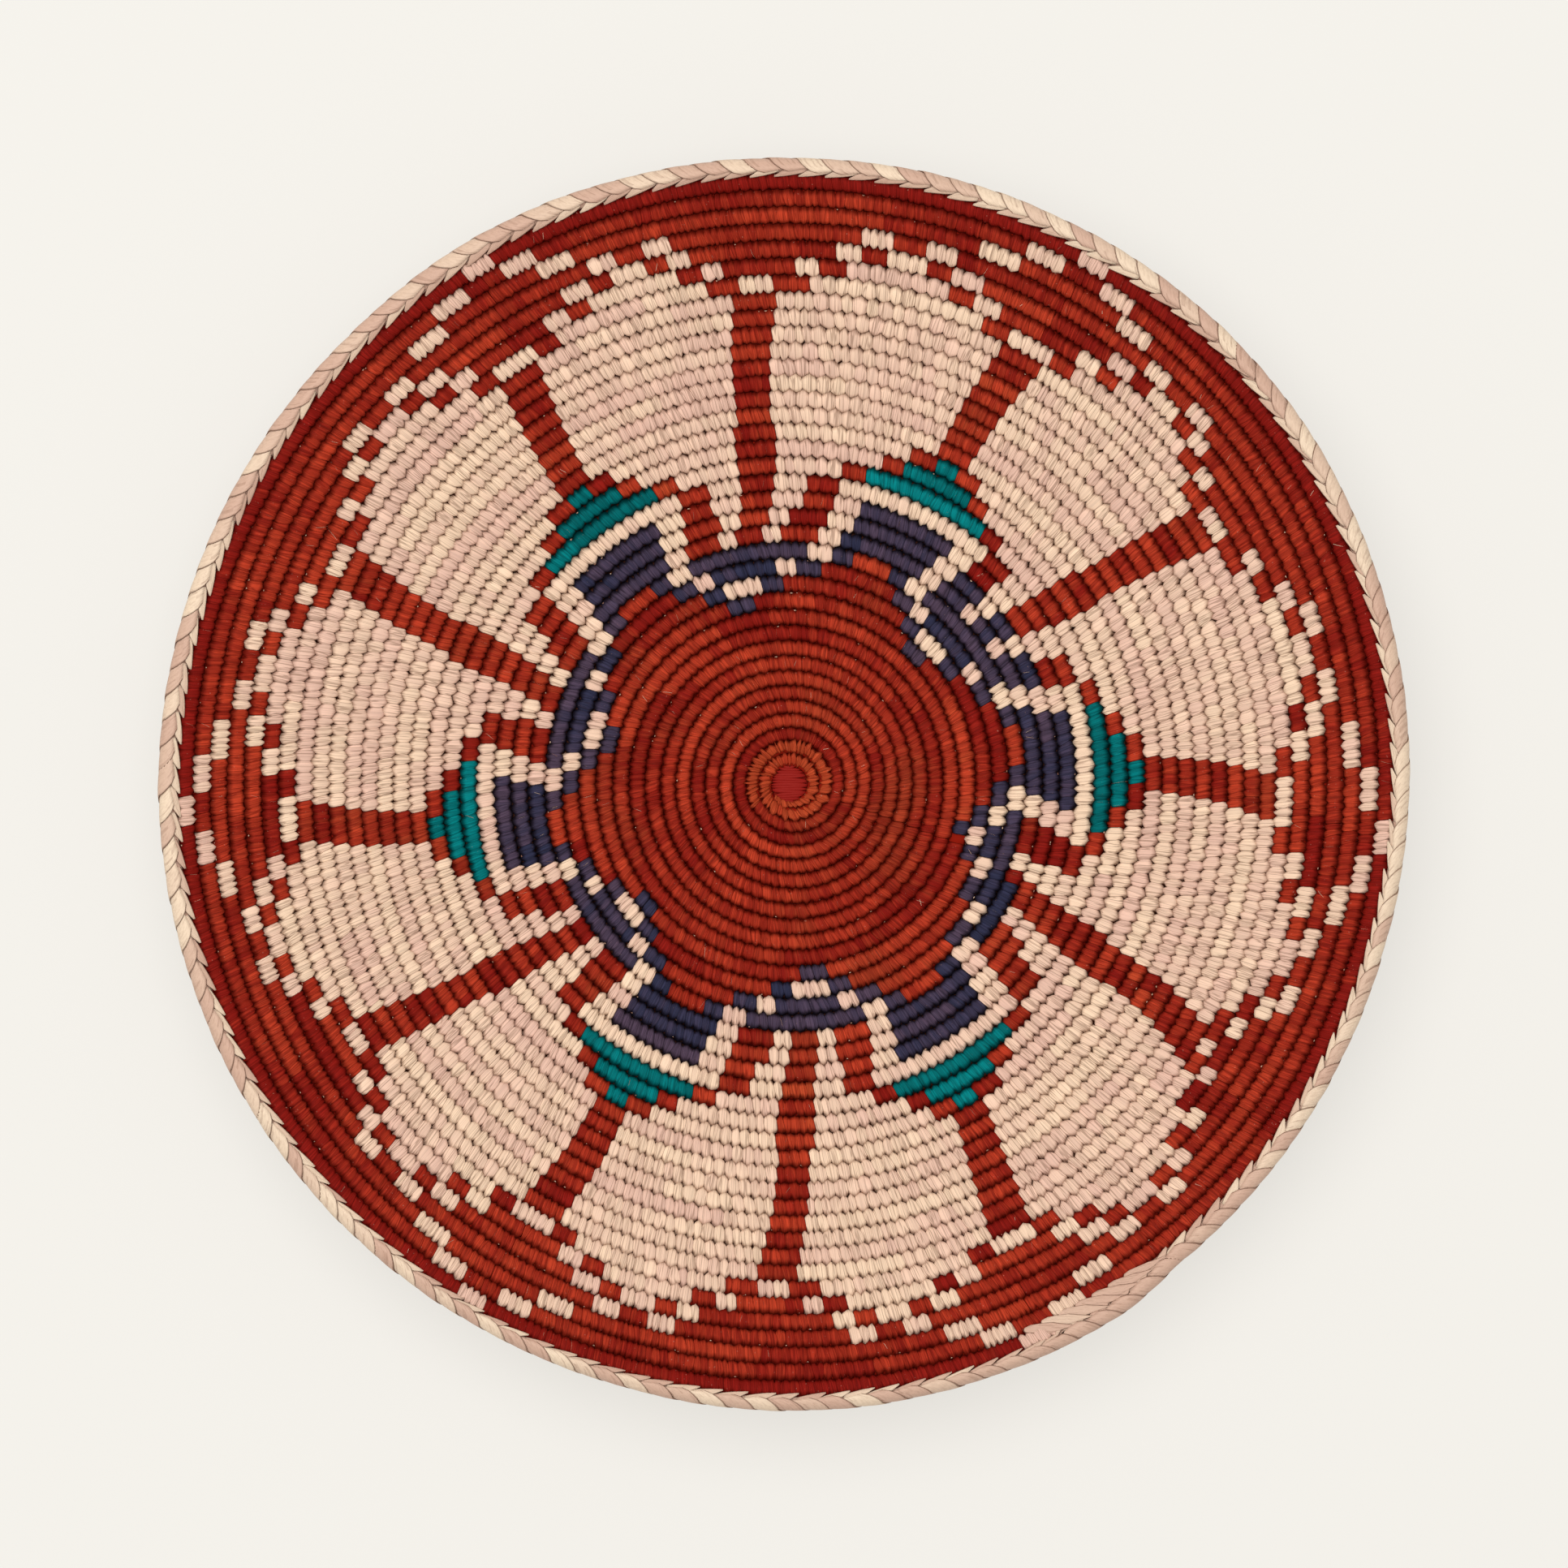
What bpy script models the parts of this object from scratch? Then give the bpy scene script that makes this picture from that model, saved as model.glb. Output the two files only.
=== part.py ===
"""Shallow coiled tray basket: one long coil wound from a knot in the middle, sewn over with dyed
and plain leaf strips in panels, and bound off with a plaited rim.

The coil lies in a spiral. A place on it is given by its round, which grows by one each turn, and by
its place round the basket, counted clockwise in spokes from the first spoke of the pattern.
"""
from math import atan, cos, floor, pi, sin, tau

import bmesh
import bpy
from mathutils import Vector

# The coil, in metres
FIRST_ROUND_RADIUS = 0.0082
FIRST_PITCH = 0.0041
FULL_PITCH = 0.00543
COIL_THICKNESS = 0.0064
VALLEY_THICKNESS = 0.0030
CREST_FLAT = 0.0016

# The bowl, in metres
BASE_RADIUS = 0.052
WALL_RISE = 0.036
REST_CUT = 0.0005

# The plaited rim, in metres
BRAID_LEAST_WIDTH = 0.0024
BRAID_THICKNESS = 0.0072
BRAID_INNER_THICKNESS = 0.0036
BRAID_OUTER_THICKNESS = 0.0026

# The knot in the middle, in metres
KNOT_THICKNESS = 0.0052
KNOT_EDGE_DROP = 0.0012
KNOT_EDGE_WIDTH = 0.0014

# Neighbours in different leaf lie this far apart, in metres
SEAT_GAP = 0.0003

# Counts
ROUNDS = 37
ROSETTE_ROUNDS = 12
WIDENING_ROUNDS = 11
MOTIFS = 6
SPOKES = 12

# Places, counted in spokes, from one gable to the next and from a gable to the spoke after it
GABLE_STEP = 2
SPOKE_STEP = 1

# Shape of the wall between its foot and its rim, and the rise of the braid's middle
WALL_CURVE_SHARE = 1.7
BRAID_CREST_SHARE = 0.45

# Where the twelve spokes stand, as shares of a turn clockwise from the seam of the rounds, which
# itself lies a share of a turn clockwise from the top of the basket
SEAM_TURN_SHARE = 0.3375
SPOKE_TURN_SHARES = (0.0806, 0.1611, 0.2403, 0.3222, 0.3944, 0.4792,
                     0.5653, 0.6472, 0.7389, 0.8222, 0.9111, 0.9931)

# The pattern leans clockwise as it goes out: strongly near the middle and slightly near the rim
LEAN_ROUND = 21.5
LEAN_START_ROUND = 12
INNER_LEAN_SHARE = 0.00089
INNER_LEAN_POWER_SHARE = 1.6
OUTER_LEAN_SHARE = 0.00056

# Half widths of the pattern's figures, as shares of the way from one spoke to the next
SPOKE_SHARE = 0.088
BLOCK_SHARE = 0.333
RIBBON_SHARE = 0.5
ARCH_SHARE = 0.45
KEYSTONE_SHARE = 0.177
BAR_SHARE = 0.7
ROOF_SHARES = {20: (0.36, 0.55), 21: (0.177, 0.41), 22: (0.04, 0.227)}
CROWN_SHARES = {31: (0.19, 0.81), 32: (0.34, 0.67), 33: (0.43, 0.59)}

# Corners that every coil in a band of rounds turns at, as shares of the way between spokes
COARSE_CORNER_SHARES = (0, 1)
EVEN_CORNER_SHARES = (0, 0.667)
INNER_CORNER_SHARES = (0, 0.333, 0.7, 1)
OUTER_CORNER_SHARES = (0.088, 0.5, 0.912)

# Rounds at which the next set of corners begins
EVEN_CORNERS_ROUND = 6.75
INNER_CORNERS_ROUND = 12.25
OUTER_CORNERS_ROUND = 19.25

# Rounds that each figure of the pattern takes up
PETAL_ROUNDS = (13, 14, 15)
BAR_ROUNDS = (16, 17, 18, 19)
BLOCK_ROUNDS = (16, 17, 18)
UPPER_SPOKE_ROUNDS = range(23, 31)
BORDER_ROUNDS = range(34, ROUNDS + 1)

SEAM = SPOKES - SPOKE_STEP + SPOKE_SHARE
CROSSING_STEP_SHARE = 0.002
HALF_ROUND_SHARE = 0.5

# Digits to which places, the places of shared vertices and points are compared
PLACE_DIGITS = 6
VERTEX_DIGITS = 5
POINT_DIGITS = 7

# Base colour, roughness and metallic value
RED_LEAF = ((0.40, 0.045, 0.025, 1.0), 0.62, 0.0)
DEEP_RED_LEAF = ((0.30, 0.035, 0.028, 1.0), 0.62, 0.0)
NAVY_LEAF = ((0.035, 0.045, 0.085, 1.0), 0.60, 0.0)
TEAL_LEAF = ((0.06, 0.20, 0.20, 1.0), 0.60, 0.0)
CREAM_LEAF = ((0.76, 0.58, 0.42, 1.0), 0.65, 0.0)
PLAIN_LEAF = ((0.72, 0.52, 0.38, 1.0), 0.65, 0.0)


def spoke_turn(place):
    """Share of a turn from the seam at which a place, counted in spokes, lies."""
    whole = floor(place)
    turns, number = divmod(whole, SPOKES)
    next_turns, next_number = divmod(whole + 1, SPOKES)
    start = turns + SPOKE_TURN_SHARES[number]
    end = next_turns + SPOKE_TURN_SHARES[next_number]
    return start + (end - start) * (place - whole)


def lean(turns_out):
    """Share of a turn by which the pattern has turned clockwise at a round."""
    if turns_out >= LEAN_ROUND:
        return OUTER_LEAN_SHARE * (turns_out - LEAN_ROUND)
    inside = LEAN_ROUND - max(turns_out, LEAN_START_ROUND)
    return -INNER_LEAN_SHARE * inside ** INNER_LEAN_POWER_SHARE


def spiral_radius(turns_out):
    """Distance from the middle to the coil's own centre line, with the rounds widening at first."""
    beyond = turns_out - 1 - SEAM_TURN_SHARE
    if beyond <= 0:
        return FIRST_ROUND_RADIUS + FIRST_PITCH * beyond
    widening = min(beyond, WIDENING_ROUNDS)
    growth = (FULL_PITCH - FIRST_PITCH) / WIDENING_ROUNDS
    widened = FIRST_ROUND_RADIUS + FIRST_PITCH * widening + growth * widening ** 2 / 2
    return widened + FULL_PITCH * (beyond - widening)


def pitch(turns_out):
    """Width of one round at a place on the spiral."""
    return spiral_radius(turns_out + HALF_ROUND_SHARE) - spiral_radius(turns_out - HALF_ROUND_SHARE)


COIL_EDGE_RADIUS = spiral_radius(ROUNDS + HALF_ROUND_SHARE + 1)


def wall(radius):
    """Height of the coil's centre line over the floor, and the slope of the wall there."""
    rest = COIL_THICKNESS / 2 - REST_CUT
    run = COIL_EDGE_RADIUS - BASE_RADIUS
    share = max(radius - BASE_RADIUS, 0) / run
    slope = WALL_CURVE_SHARE * WALL_RISE / run * share ** (WALL_CURVE_SHARE - 1)
    return rest + WALL_RISE * share ** WALL_CURVE_SHARE, atan(slope)


def place_point(radius, turn, height):
    """Point at a height square to the wall, over or under its centre line."""
    middle, slope = wall(radius)
    angle = tau * (SEAM_TURN_SHARE + turn)
    reach = radius - height * sin(slope)
    level = max(middle + height * cos(slope), 0)
    return Vector((reach * sin(angle), reach * cos(angle), level))


def turns_at(line, place):
    """Turns out along the spiral, for a line of a round at a place between the two seams."""
    return line + (SEAM - place) / SPOKES


def corner_point(line, place, height, shift):
    """Point on the spiral at one of the corners that the rounds turn at."""
    turns_out = turns_at(line, place)
    radius = spiral_radius(turns_out) + shift
    return place_point(radius, spoke_turn(place) + lean(turns_out), height)


def tidy(place):
    """A place without the last digits, so that equal places compare as equal."""
    return round(place, PLACE_DIGITS)


def corners_for(line):
    """Places between the seams at which a line turns, from the seam to the seam."""
    if line < EVEN_CORNERS_ROUND:
        shares = COARSE_CORNER_SHARES
    elif line < INNER_CORNERS_ROUND:
        shares = EVEN_CORNER_SHARES
    elif line < OUTER_CORNERS_ROUND:
        shares = INNER_CORNER_SHARES
    else:
        shares = OUTER_CORNER_SHARES
    places = {SEAM - SPOKES, SEAM}
    for axis in range(-GABLE_STEP, SPOKES + GABLE_STEP, GABLE_STEP):
        places.update(axis + side * share for side in (-1, 1) for share in shares)
    tidied = {tidy(place) for place in places}
    return sorted(place for place in tidied if SEAM - SPOKES <= place <= SEAM)


CORNERS = {}


def line_point(line, place, height, shift=0.0, slide=0.0):
    """Point on a line of a round: straight from one corner to the next, as all its neighbours are."""
    if line not in CORNERS:
        CORNERS[line] = corners_for(line)
    corners = CORNERS[line]
    index = 0
    while index < len(corners) - 2 and corners[index + 1] <= place:
        index += 1
    first, last = corners[index], corners[index + 1]
    along = (place - first) / (last - first)
    start = corner_point(line, first, height, shift)
    end = corner_point(line, last, height, shift)
    run = end - start
    return start + run * along + run.normalized() * slide


def across_seam(round_number, place):
    """The same place on the coil, with its place brought between the two seams."""
    if place > SEAM:
        return round_number - 1, place - SPOKES
    if place < SEAM - SPOKES:
        return round_number + 1, place + SPOKES
    return round_number, place


class Panel:
    """One run of leaf: for each of its rounds, the stretches that it covers."""

    def __init__(self, name, flat_rounds=0):
        self.name = name
        self.flat_rounds = flat_rounds
        self.stretches = {}

    def cover(self, round_number, start, end):
        """Cover a round from one place to another, both counted in spokes."""
        start, end = tidy(start), tidy(end)
        if start >= SEAM:
            start, end = tidy(start - SPOKES), tidy(end - SPOKES)
        if end > SEAM:
            self.cover(round_number, start, SEAM)
            self.cover(round_number, SEAM - SPOKES, end - SPOKES)
            return
        self.stretches.setdefault(round_number, []).append((start, end))

    def mirror(self, round_number, axis, inner, outer):
        """Cover the same stretch on both sides of an axis, or one stretch over it."""
        if inner == 0:
            self.cover(round_number, axis - outer, axis + outer)
            return
        self.cover(round_number, axis - outer, axis - inner)
        self.cover(round_number, axis + inner, axis + outer)

    def covers(self, round_number, place):
        """Whether this panel covers a place of a round."""
        number, place = across_seam(round_number, place)
        return any(start < place < end for start, end in self.stretches.get(number, ()))


def valley_places(panel, valley, start, end):
    """Places at which a valley line of a panel has a vertex, over one stretch."""
    places = {start, end}
    places.update(place for place in CORNERS.setdefault(valley, corners_for(valley)))
    for number in (valley - HALF_ROUND_SHARE, valley + HALF_ROUND_SHARE):
        for stretch in panel.stretches.get(round(number), ()):
            places.update(stretch)
    return sorted(place for place in places if start <= place <= end)


def crest_places(crest, start, end):
    """Places at which a crest line has a vertex, over one stretch."""
    places = {start, end}
    places.update(CORNERS.setdefault(crest, corners_for(crest)))
    return sorted(place for place in places if start <= place <= end)


def sign(value):
    """Minus one, zero or one."""
    return (value > 0) - (value < 0)


class Weaver:
    """Makes a panel's mesh: a sheet of crests and valleys, then its underside and edges."""

    def __init__(self, panel):
        self.panel = panel
        self.mesh = bmesh.new()
        self.made = {}
        self.under = {}

    def clearance(self, line, place, is_valley):
        """Which way a vertex stands back from its neighbours, outwards and clockwise."""
        step = CROSSING_STEP_SHARE
        if not is_valley:
            number = round(line)
            left = self.panel.covers(number, place - step)
            right = self.panel.covers(number, place + step)
            return 0, right - left
        inner, outer = line - HALF_ROUND_SHARE, line + HALF_ROUND_SHARE
        inner_left = self.panel.covers(inner, place - step)
        inner_right = self.panel.covers(inner, place + step)
        outer_left = self.panel.covers(outer, place - step)
        outer_right = self.panel.covers(outer, place + step)
        outwards = sign(outer_left + outer_right - inner_left - inner_right)
        clockwise = sign(inner_right + outer_right - inner_left - outer_left)
        return outwards, clockwise

    def vertex(self, line, place, is_valley):
        """Vertex of the sheet on a line, shared by all that meet there."""
        seam_place = place if place < SEAM else place - SPOKES
        key = (round(turns_at(line, place), VERTEX_DIGITS), round(seam_place, VERTEX_DIGITS))
        if key in self.made:
            return self.made[key]
        outwards, clockwise = self.clearance(line, place, is_valley)
        shift = outwards * SEAT_GAP / 2
        slide = clockwise * SEAT_GAP / 2
        height = VALLEY_THICKNESS / 2 if is_valley else COIL_THICKNESS / 2
        is_flat = not is_valley and round(line) <= self.panel.flat_rounds
        depth = height - REST_CUT if is_flat else height
        vertex = self.mesh.verts.new(line_point(line, place, height, shift, slide))
        self.made[key] = vertex
        self.under[vertex] = line_point(line, place, -depth, shift, slide)
        return vertex

    def row(self, line, places, is_valley):
        """Vertices of one line, with their places."""
        return [(place, self.vertex(line, place, is_valley)) for place in places]

    def join(self, first, second):
        """Faces between two lines, whose vertices need not match."""
        one = two = 0
        while one < len(first) - 1 or two < len(second) - 1:
            can_one = one < len(first) - 1
            can_two = two < len(second) - 1
            if can_one and can_two and abs(first[one + 1][0] - second[two + 1][0]) < CROSSING_STEP_SHARE:
                corners = (first[one], first[one + 1], second[two + 1], second[two])
                one += 1
                two += 1
            elif can_one and (not can_two or first[one + 1][0] < second[two + 1][0]):
                corners = (first[one], first[one + 1], second[two])
                one += 1
            else:
                corners = (first[one], second[two + 1], second[two])
                two += 1
            self.mesh.faces.new([vertex for _, vertex in corners])

    def sheet(self):
        """The upper side of every stretch, from valley over crest to valley."""
        flat = CREST_FLAT / FULL_PITCH / 2
        for number, stretches in sorted(self.panel.stretches.items()):
            crests = (-flat, flat) if number <= self.panel.flat_rounds else (0,)
            for start, end in stretches:
                inner = number - HALF_ROUND_SHARE
                outer = number + HALF_ROUND_SHARE
                rows = [self.row(inner, valley_places(self.panel, inner, start, end), True)]
                for offset in crests:
                    crest = number + offset
                    rows.append(self.row(crest, crest_places(crest, start, end), False))
                rows.append(self.row(outer, valley_places(self.panel, outer, start, end), True))
                for first, second in zip(rows, rows[1:]):
                    self.join(first, second)

    def rounded(self, point):
        """A point's values, rounded so that equal points compare as equal."""
        return tuple(round(value, POINT_DIGITS) for value in point)

    def thicken(self):
        """Extrude the sheet, and lower the new side to the underside of the coil."""
        tops = dict(self.under)
        upper = {vertex: vertex.co.copy() for vertex in tops}
        grown = bmesh.ops.extrude_face_region(self.mesh, geom=self.mesh.faces[:], use_keep_orig=True)
        lookup = {self.rounded(point): vertex for vertex, point in upper.items()}
        for piece in grown["geom"]:
            if isinstance(piece, bmesh.types.BMVert):
                source = lookup[self.rounded(piece.co)]
                piece.co = tops[source]

    def finish(self):
        """The closed solid, with its faces pointing out."""
        self.sheet()
        self.thicken()
        bmesh.ops.recalc_face_normals(self.mesh, faces=self.mesh.faces[:])
        return self.mesh


def leaf_material(name, finish):
    """Principled material of one dyed or plain leaf."""
    colour, roughness, metallic = finish
    material = bpy.data.materials.new(name)
    material.use_nodes = True
    shader = material.node_tree.nodes["Principled BSDF"]
    shader.inputs["Base Color"].default_value = colour
    shader.inputs["Roughness"].default_value = roughness
    shader.inputs["Metallic"].default_value = metallic
    material.diffuse_color = colour
    return material


def add_piece(name, mesh, finish):
    """Object of one sub-part, smooth along its coils, with its own material."""
    data = bpy.data.meshes.new(name)
    mesh.to_mesh(data)
    mesh.free()
    data.shade_smooth()
    data.set_sharp_from_angle(angle=pi / 3)
    data.materials.append(leaf_material(name + "_leaf", finish))
    piece = bpy.data.objects.new(name, data)
    bpy.context.scene.collection.objects.link(piece)
    return piece


def weave(panel, finish):
    """Object of one panel of sewn coil."""
    return add_piece(panel.name, Weaver(panel).finish(), finish)


def make_knot():
    """The wrapped knot in the middle, whose edge follows the inside of the first round."""
    mesh = bmesh.new()
    corners = [place for place in corners_for(HALF_ROUND_SHARE) if place < SEAM]
    corners.append(SEAM - CROSSING_STEP_SHARE)
    edge = []
    for place in corners:
        turns_out = turns_at(HALF_ROUND_SHARE, place)
        edge.append((spiral_radius(turns_out) - SEAT_GAP, spoke_turn(place) + lean(turns_out)))
    rings = ((0, 0), (0, KNOT_THICKNESS - KNOT_EDGE_DROP), (KNOT_EDGE_WIDTH, KNOT_THICKNESS))
    made = []
    for inset, level in rings:
        ring = []
        for radius, turn in edge:
            angle = tau * (SEAM_TURN_SHARE + turn)
            reach = radius - inset
            ring.append(mesh.verts.new((reach * sin(angle), reach * cos(angle), level)))
        made.append(ring)
    mesh.faces.new(made[0])
    for lower, upper in zip(made, made[1:]):
        for index, vertex in enumerate(lower):
            after = (index + 1) % len(lower)
            mesh.faces.new((vertex, lower[after], upper[after], upper[index]))
    mesh.faces.new(made[-1])
    bmesh.ops.recalc_face_normals(mesh, faces=mesh.faces[:])
    return add_piece("start_knot", mesh, RED_LEAF)


def make_rosette():
    """The red middle, all rounds of the base and the petals that reach between the arches."""
    panel = Panel("red_rosette", flat_rounds=ROSETTE_ROUNDS)
    for number in range(1, ROSETTE_ROUNDS + 1):
        panel.cover(number, SEAM - SPOKES, SEAM)
    for axis in range(0, SPOKES, GABLE_STEP):
        low, middle, high = PETAL_ROUNDS
        panel.mirror(low, axis, 0, 1 - KEYSTONE_SHARE)
        panel.mirror(middle, axis, 0, 1 - ARCH_SHARE)
        panel.mirror(high, axis, 0, BLOCK_SHARE)
    return weave(panel, RED_LEAF)


def make_block(name, axis):
    """Dark block over a petal."""
    panel = Panel(name)
    for number in BLOCK_ROUNDS:
        panel.mirror(number, axis, 0, BLOCK_SHARE)
    return weave(panel, NAVY_LEAF)


def make_ribbon(name, axis):
    """Plain ribbon that runs round the block."""
    panel = Panel(name)
    panel.mirror(PETAL_ROUNDS[-1], axis, BLOCK_SHARE, 1 - ARCH_SHARE)
    for number in BLOCK_ROUNDS:
        panel.mirror(number, axis, BLOCK_SHARE, RIBBON_SHARE)
    panel.mirror(BLOCK_ROUNDS[-1] + 1, axis, 0, RIBBON_SHARE)
    return weave(panel, CREAM_LEAF)


def make_arch(name, axis):
    """Dark arch between two petals, under a spoke."""
    panel = Panel(name)
    low, middle, high = PETAL_ROUNDS
    panel.mirror(low, axis, 0, KEYSTONE_SHARE)
    panel.mirror(middle, axis, 0, ARCH_SHARE)
    panel.mirror(high, axis, 0, ARCH_SHARE)
    return weave(panel, NAVY_LEAF)


def make_teal(name, axis):
    """Stepped gable filling in teal."""
    panel = Panel(name)
    for number, (inner, _) in ROOF_SHARES.items():
        panel.mirror(number, axis, 0, inner)
    return weave(panel, TEAL_LEAF)


def make_gable(name, axis):
    """Spoke that splits into a stepped roof and two bars."""
    panel = Panel(name)
    for number in BAR_ROUNDS:
        panel.mirror(number, axis, RIBBON_SHARE, BAR_SHARE)
    for number, (inner, outer) in ROOF_SHARES.items():
        panel.mirror(number, axis, inner, outer)
    for number in UPPER_SPOKE_ROUNDS:
        panel.mirror(number, axis, 0, SPOKE_SHARE)
    return weave(panel, RED_LEAF)


def make_spoke(name, axis):
    """Plain straight spoke."""
    panel = Panel(name)
    for number in range(BAR_ROUNDS[0], UPPER_SPOKE_ROUNDS[-1] + 1):
        panel.mirror(number, axis, 0, SPOKE_SHARE)
    return weave(panel, RED_LEAF)


def make_field(name, axis, side):
    """Plain field between a gable and the spoke on one side of it."""
    panel = Panel(name)
    spoke = 1 - SPOKE_SHARE
    spans = {number: (BAR_SHARE, spoke) for number in BAR_ROUNDS}
    spans.update({number: (outer, spoke) for number, (_, outer) in ROOF_SHARES.items()})
    spans.update({number: (SPOKE_SHARE, spoke) for number in UPPER_SPOKE_ROUNDS})
    spans.update(CROWN_SHARES)
    for number, (near, far) in spans.items():
        ends = sorted((axis + side * near, axis + side * far))
        panel.cover(number, *ends)
    return weave(panel, CREAM_LEAF)


def make_border(name, axis):
    """Outer band from one gable's spoke to the next, with its stepped inner edge."""
    panel = Panel(name)
    start = axis + SPOKE_SHARE
    next_axis = axis + GABLE_STEP
    end = next_axis + SPOKE_SHARE
    for number, (near, far) in CROWN_SHARES.items():
        panel.cover(number, start, axis + near)
        panel.cover(number, axis + far, next_axis - far)
        panel.cover(number, next_axis - near, end)
    for number in BORDER_ROUNDS:
        last = number == ROUNDS and end > SEAM
        panel.cover(number, start, SEAM if last else end)
    return weave(panel, DEEP_RED_LEAF)


def make_braid():
    """Plaited rim, wider where the coil ends under it."""
    mesh = bmesh.new()
    edge_line = ROUNDS + HALF_ROUND_SHARE
    end_place = SPOKE_SHARE
    back = SEAT_GAP / pitch(edge_line)
    places = [place for place in corners_for(edge_line) if place > end_place + back]
    places += [place + SPOKES for place in corners_for(edge_line) if place < end_place - back]
    places = sorted(place for place in set(places) if place < end_place + SPOKES - back)
    outer_radius = COIL_EDGE_RADIUS + BRAID_LEAST_WIDTH
    steps = [(end_place, SEAT_GAP)]
    steps += [(place, 0) for place in places]
    steps.append((end_place + SPOKES, 2 * SEAT_GAP))
    sections = []
    for place, back_off in steps:
        turns_out = turns_at(edge_line, place)
        inner_radius = spiral_radius(turns_out) + SEAT_GAP
        turn = spoke_turn(place) + lean(turns_out) - back_off / (tau * inner_radius)
        width = outer_radius - inner_radius
        middle = inner_radius + width * BRAID_CREST_SHARE
        outline = ((inner_radius, BRAID_INNER_THICKNESS / 2), (middle, BRAID_THICKNESS / 2),
                   (outer_radius, BRAID_OUTER_THICKNESS / 2), (outer_radius, -BRAID_OUTER_THICKNESS / 2),
                   (middle, -BRAID_THICKNESS / 2), (inner_radius, -BRAID_INNER_THICKNESS / 2))
        sections.append([mesh.verts.new(place_point(radius, turn, height)) for radius, height in outline])
    for index, section in enumerate(sections):
        following = sections[(index + 1) % len(sections)]
        for corner in range(len(section)):
            after = (corner + 1) % len(section)
            mesh.faces.new((section[corner], section[after], following[after], following[corner]))
    bmesh.ops.recalc_face_normals(mesh, faces=mesh.faces[:])
    return add_piece("rim_braid", mesh, PLAIN_LEAF)


def centre_on_floor(pieces):
    """Move the whole basket so that the middle of its outline stands at the origin."""
    corners = [vertex.co for piece in pieces for vertex in piece.data.vertices]
    middle = Vector(((min(corner.x for corner in corners) + max(corner.x for corner in corners)) / 2,
                     (min(corner.y for corner in corners) + max(corner.y for corner in corners)) / 2,
                     min(corner.z for corner in corners)))
    for piece in pieces:
        for vertex in piece.data.vertices:
            vertex.co -= middle


def main():
    """Clear the scene and make every sub-part."""
    for old in list(bpy.data.objects):
        bpy.data.objects.remove(old, do_unlink=True)
    pieces = [make_knot(), make_rosette()]
    for motif in range(MOTIFS):
        axis = GABLE_STEP * motif
        spoke = axis + SPOKE_STEP
        number = str(motif + 1)
        pieces.append(make_block("navy_block_" + number, axis))
        pieces.append(make_arch("navy_arch_" + number, spoke))
        pieces.append(make_ribbon("cream_ribbon_" + number, axis))
        pieces.append(make_teal("teal_gable_" + number, axis))
        pieces.append(make_gable("red_gable_" + number, axis))
        pieces.append(make_spoke("red_spoke_" + number, spoke))
        pieces.append(make_field("cream_field_" + number + "_right", axis, 1))
        pieces.append(make_field("cream_field_" + number + "_left", axis, -1))
        pieces.append(make_border("red_border_" + number, axis))
    pieces.append(make_braid())
    centre_on_floor(pieces)


main()
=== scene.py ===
"""Looks of a shallow coiled tray basket, built round its packed solids.

One long coil of grass is wound out from a knot and sewn over with strips of palm leaf. Every stitch
is in the mesh: a run of one leaf is a grid rolled into a sleeve, drawn in where two stitches meet
and full where a stitch bulges, and laid along the coil's spiral. A plait of undyed leaf is sewn
over the rim.

A place on the coil is given by its turns out, which grow by one each turn counter-clockwise, and by
its place round the basket, counted clockwise in spokes from the first gable.
"""

from bisect import bisect_left
from math import pi, radians, tau
from typing import NamedTuple

import bmesh
import bpy
import numpy as np
from bpy.props import FloatProperty, FloatVectorProperty, IntProperty, PointerProperty
from mathutils import Matrix, Vector


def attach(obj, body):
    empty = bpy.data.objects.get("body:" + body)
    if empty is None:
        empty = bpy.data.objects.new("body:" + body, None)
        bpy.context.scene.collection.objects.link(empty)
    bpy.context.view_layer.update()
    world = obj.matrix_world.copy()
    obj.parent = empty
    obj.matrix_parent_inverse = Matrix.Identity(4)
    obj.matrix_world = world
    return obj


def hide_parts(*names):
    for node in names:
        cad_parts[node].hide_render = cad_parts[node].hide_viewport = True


bl_info = {
    "name": "Coiled tray basket",
    "version": (1, 0, 0),
    "blender": (4, 5, 0),
    "location": "3D Viewport > Sidebar > Basket",
    "description": "Stitched coils, plaited rim and stage of a shallow coiled tray basket",
    "category": "Object",
}

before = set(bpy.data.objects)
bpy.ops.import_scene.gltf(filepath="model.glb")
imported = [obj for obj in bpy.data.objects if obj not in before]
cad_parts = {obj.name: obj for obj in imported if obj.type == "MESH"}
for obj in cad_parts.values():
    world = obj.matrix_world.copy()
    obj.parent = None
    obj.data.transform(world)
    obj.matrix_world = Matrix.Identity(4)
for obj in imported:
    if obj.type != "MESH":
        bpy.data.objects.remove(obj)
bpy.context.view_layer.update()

BODY = "root"
UV_NAME = "strip"
TONE_NAME = "leaf_tone"
PARTING_NAME = "parting"

# The spiral of the coil, as the solids have it, in metres
FIRST_ROUND_RADIUS = 0.0082
FIRST_PITCH = 0.0041
FULL_PITCH = 0.00543
COIL_THICKNESS = 0.0064
BASE_RADIUS = 0.052
WALL_RISE = 0.036
REST_CUT = 0.0005
BRAID_LEAST_WIDTH = 0.0024
BRAID_THICKNESS = 0.0072
KNOT_THICKNESS = 0.0052

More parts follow.
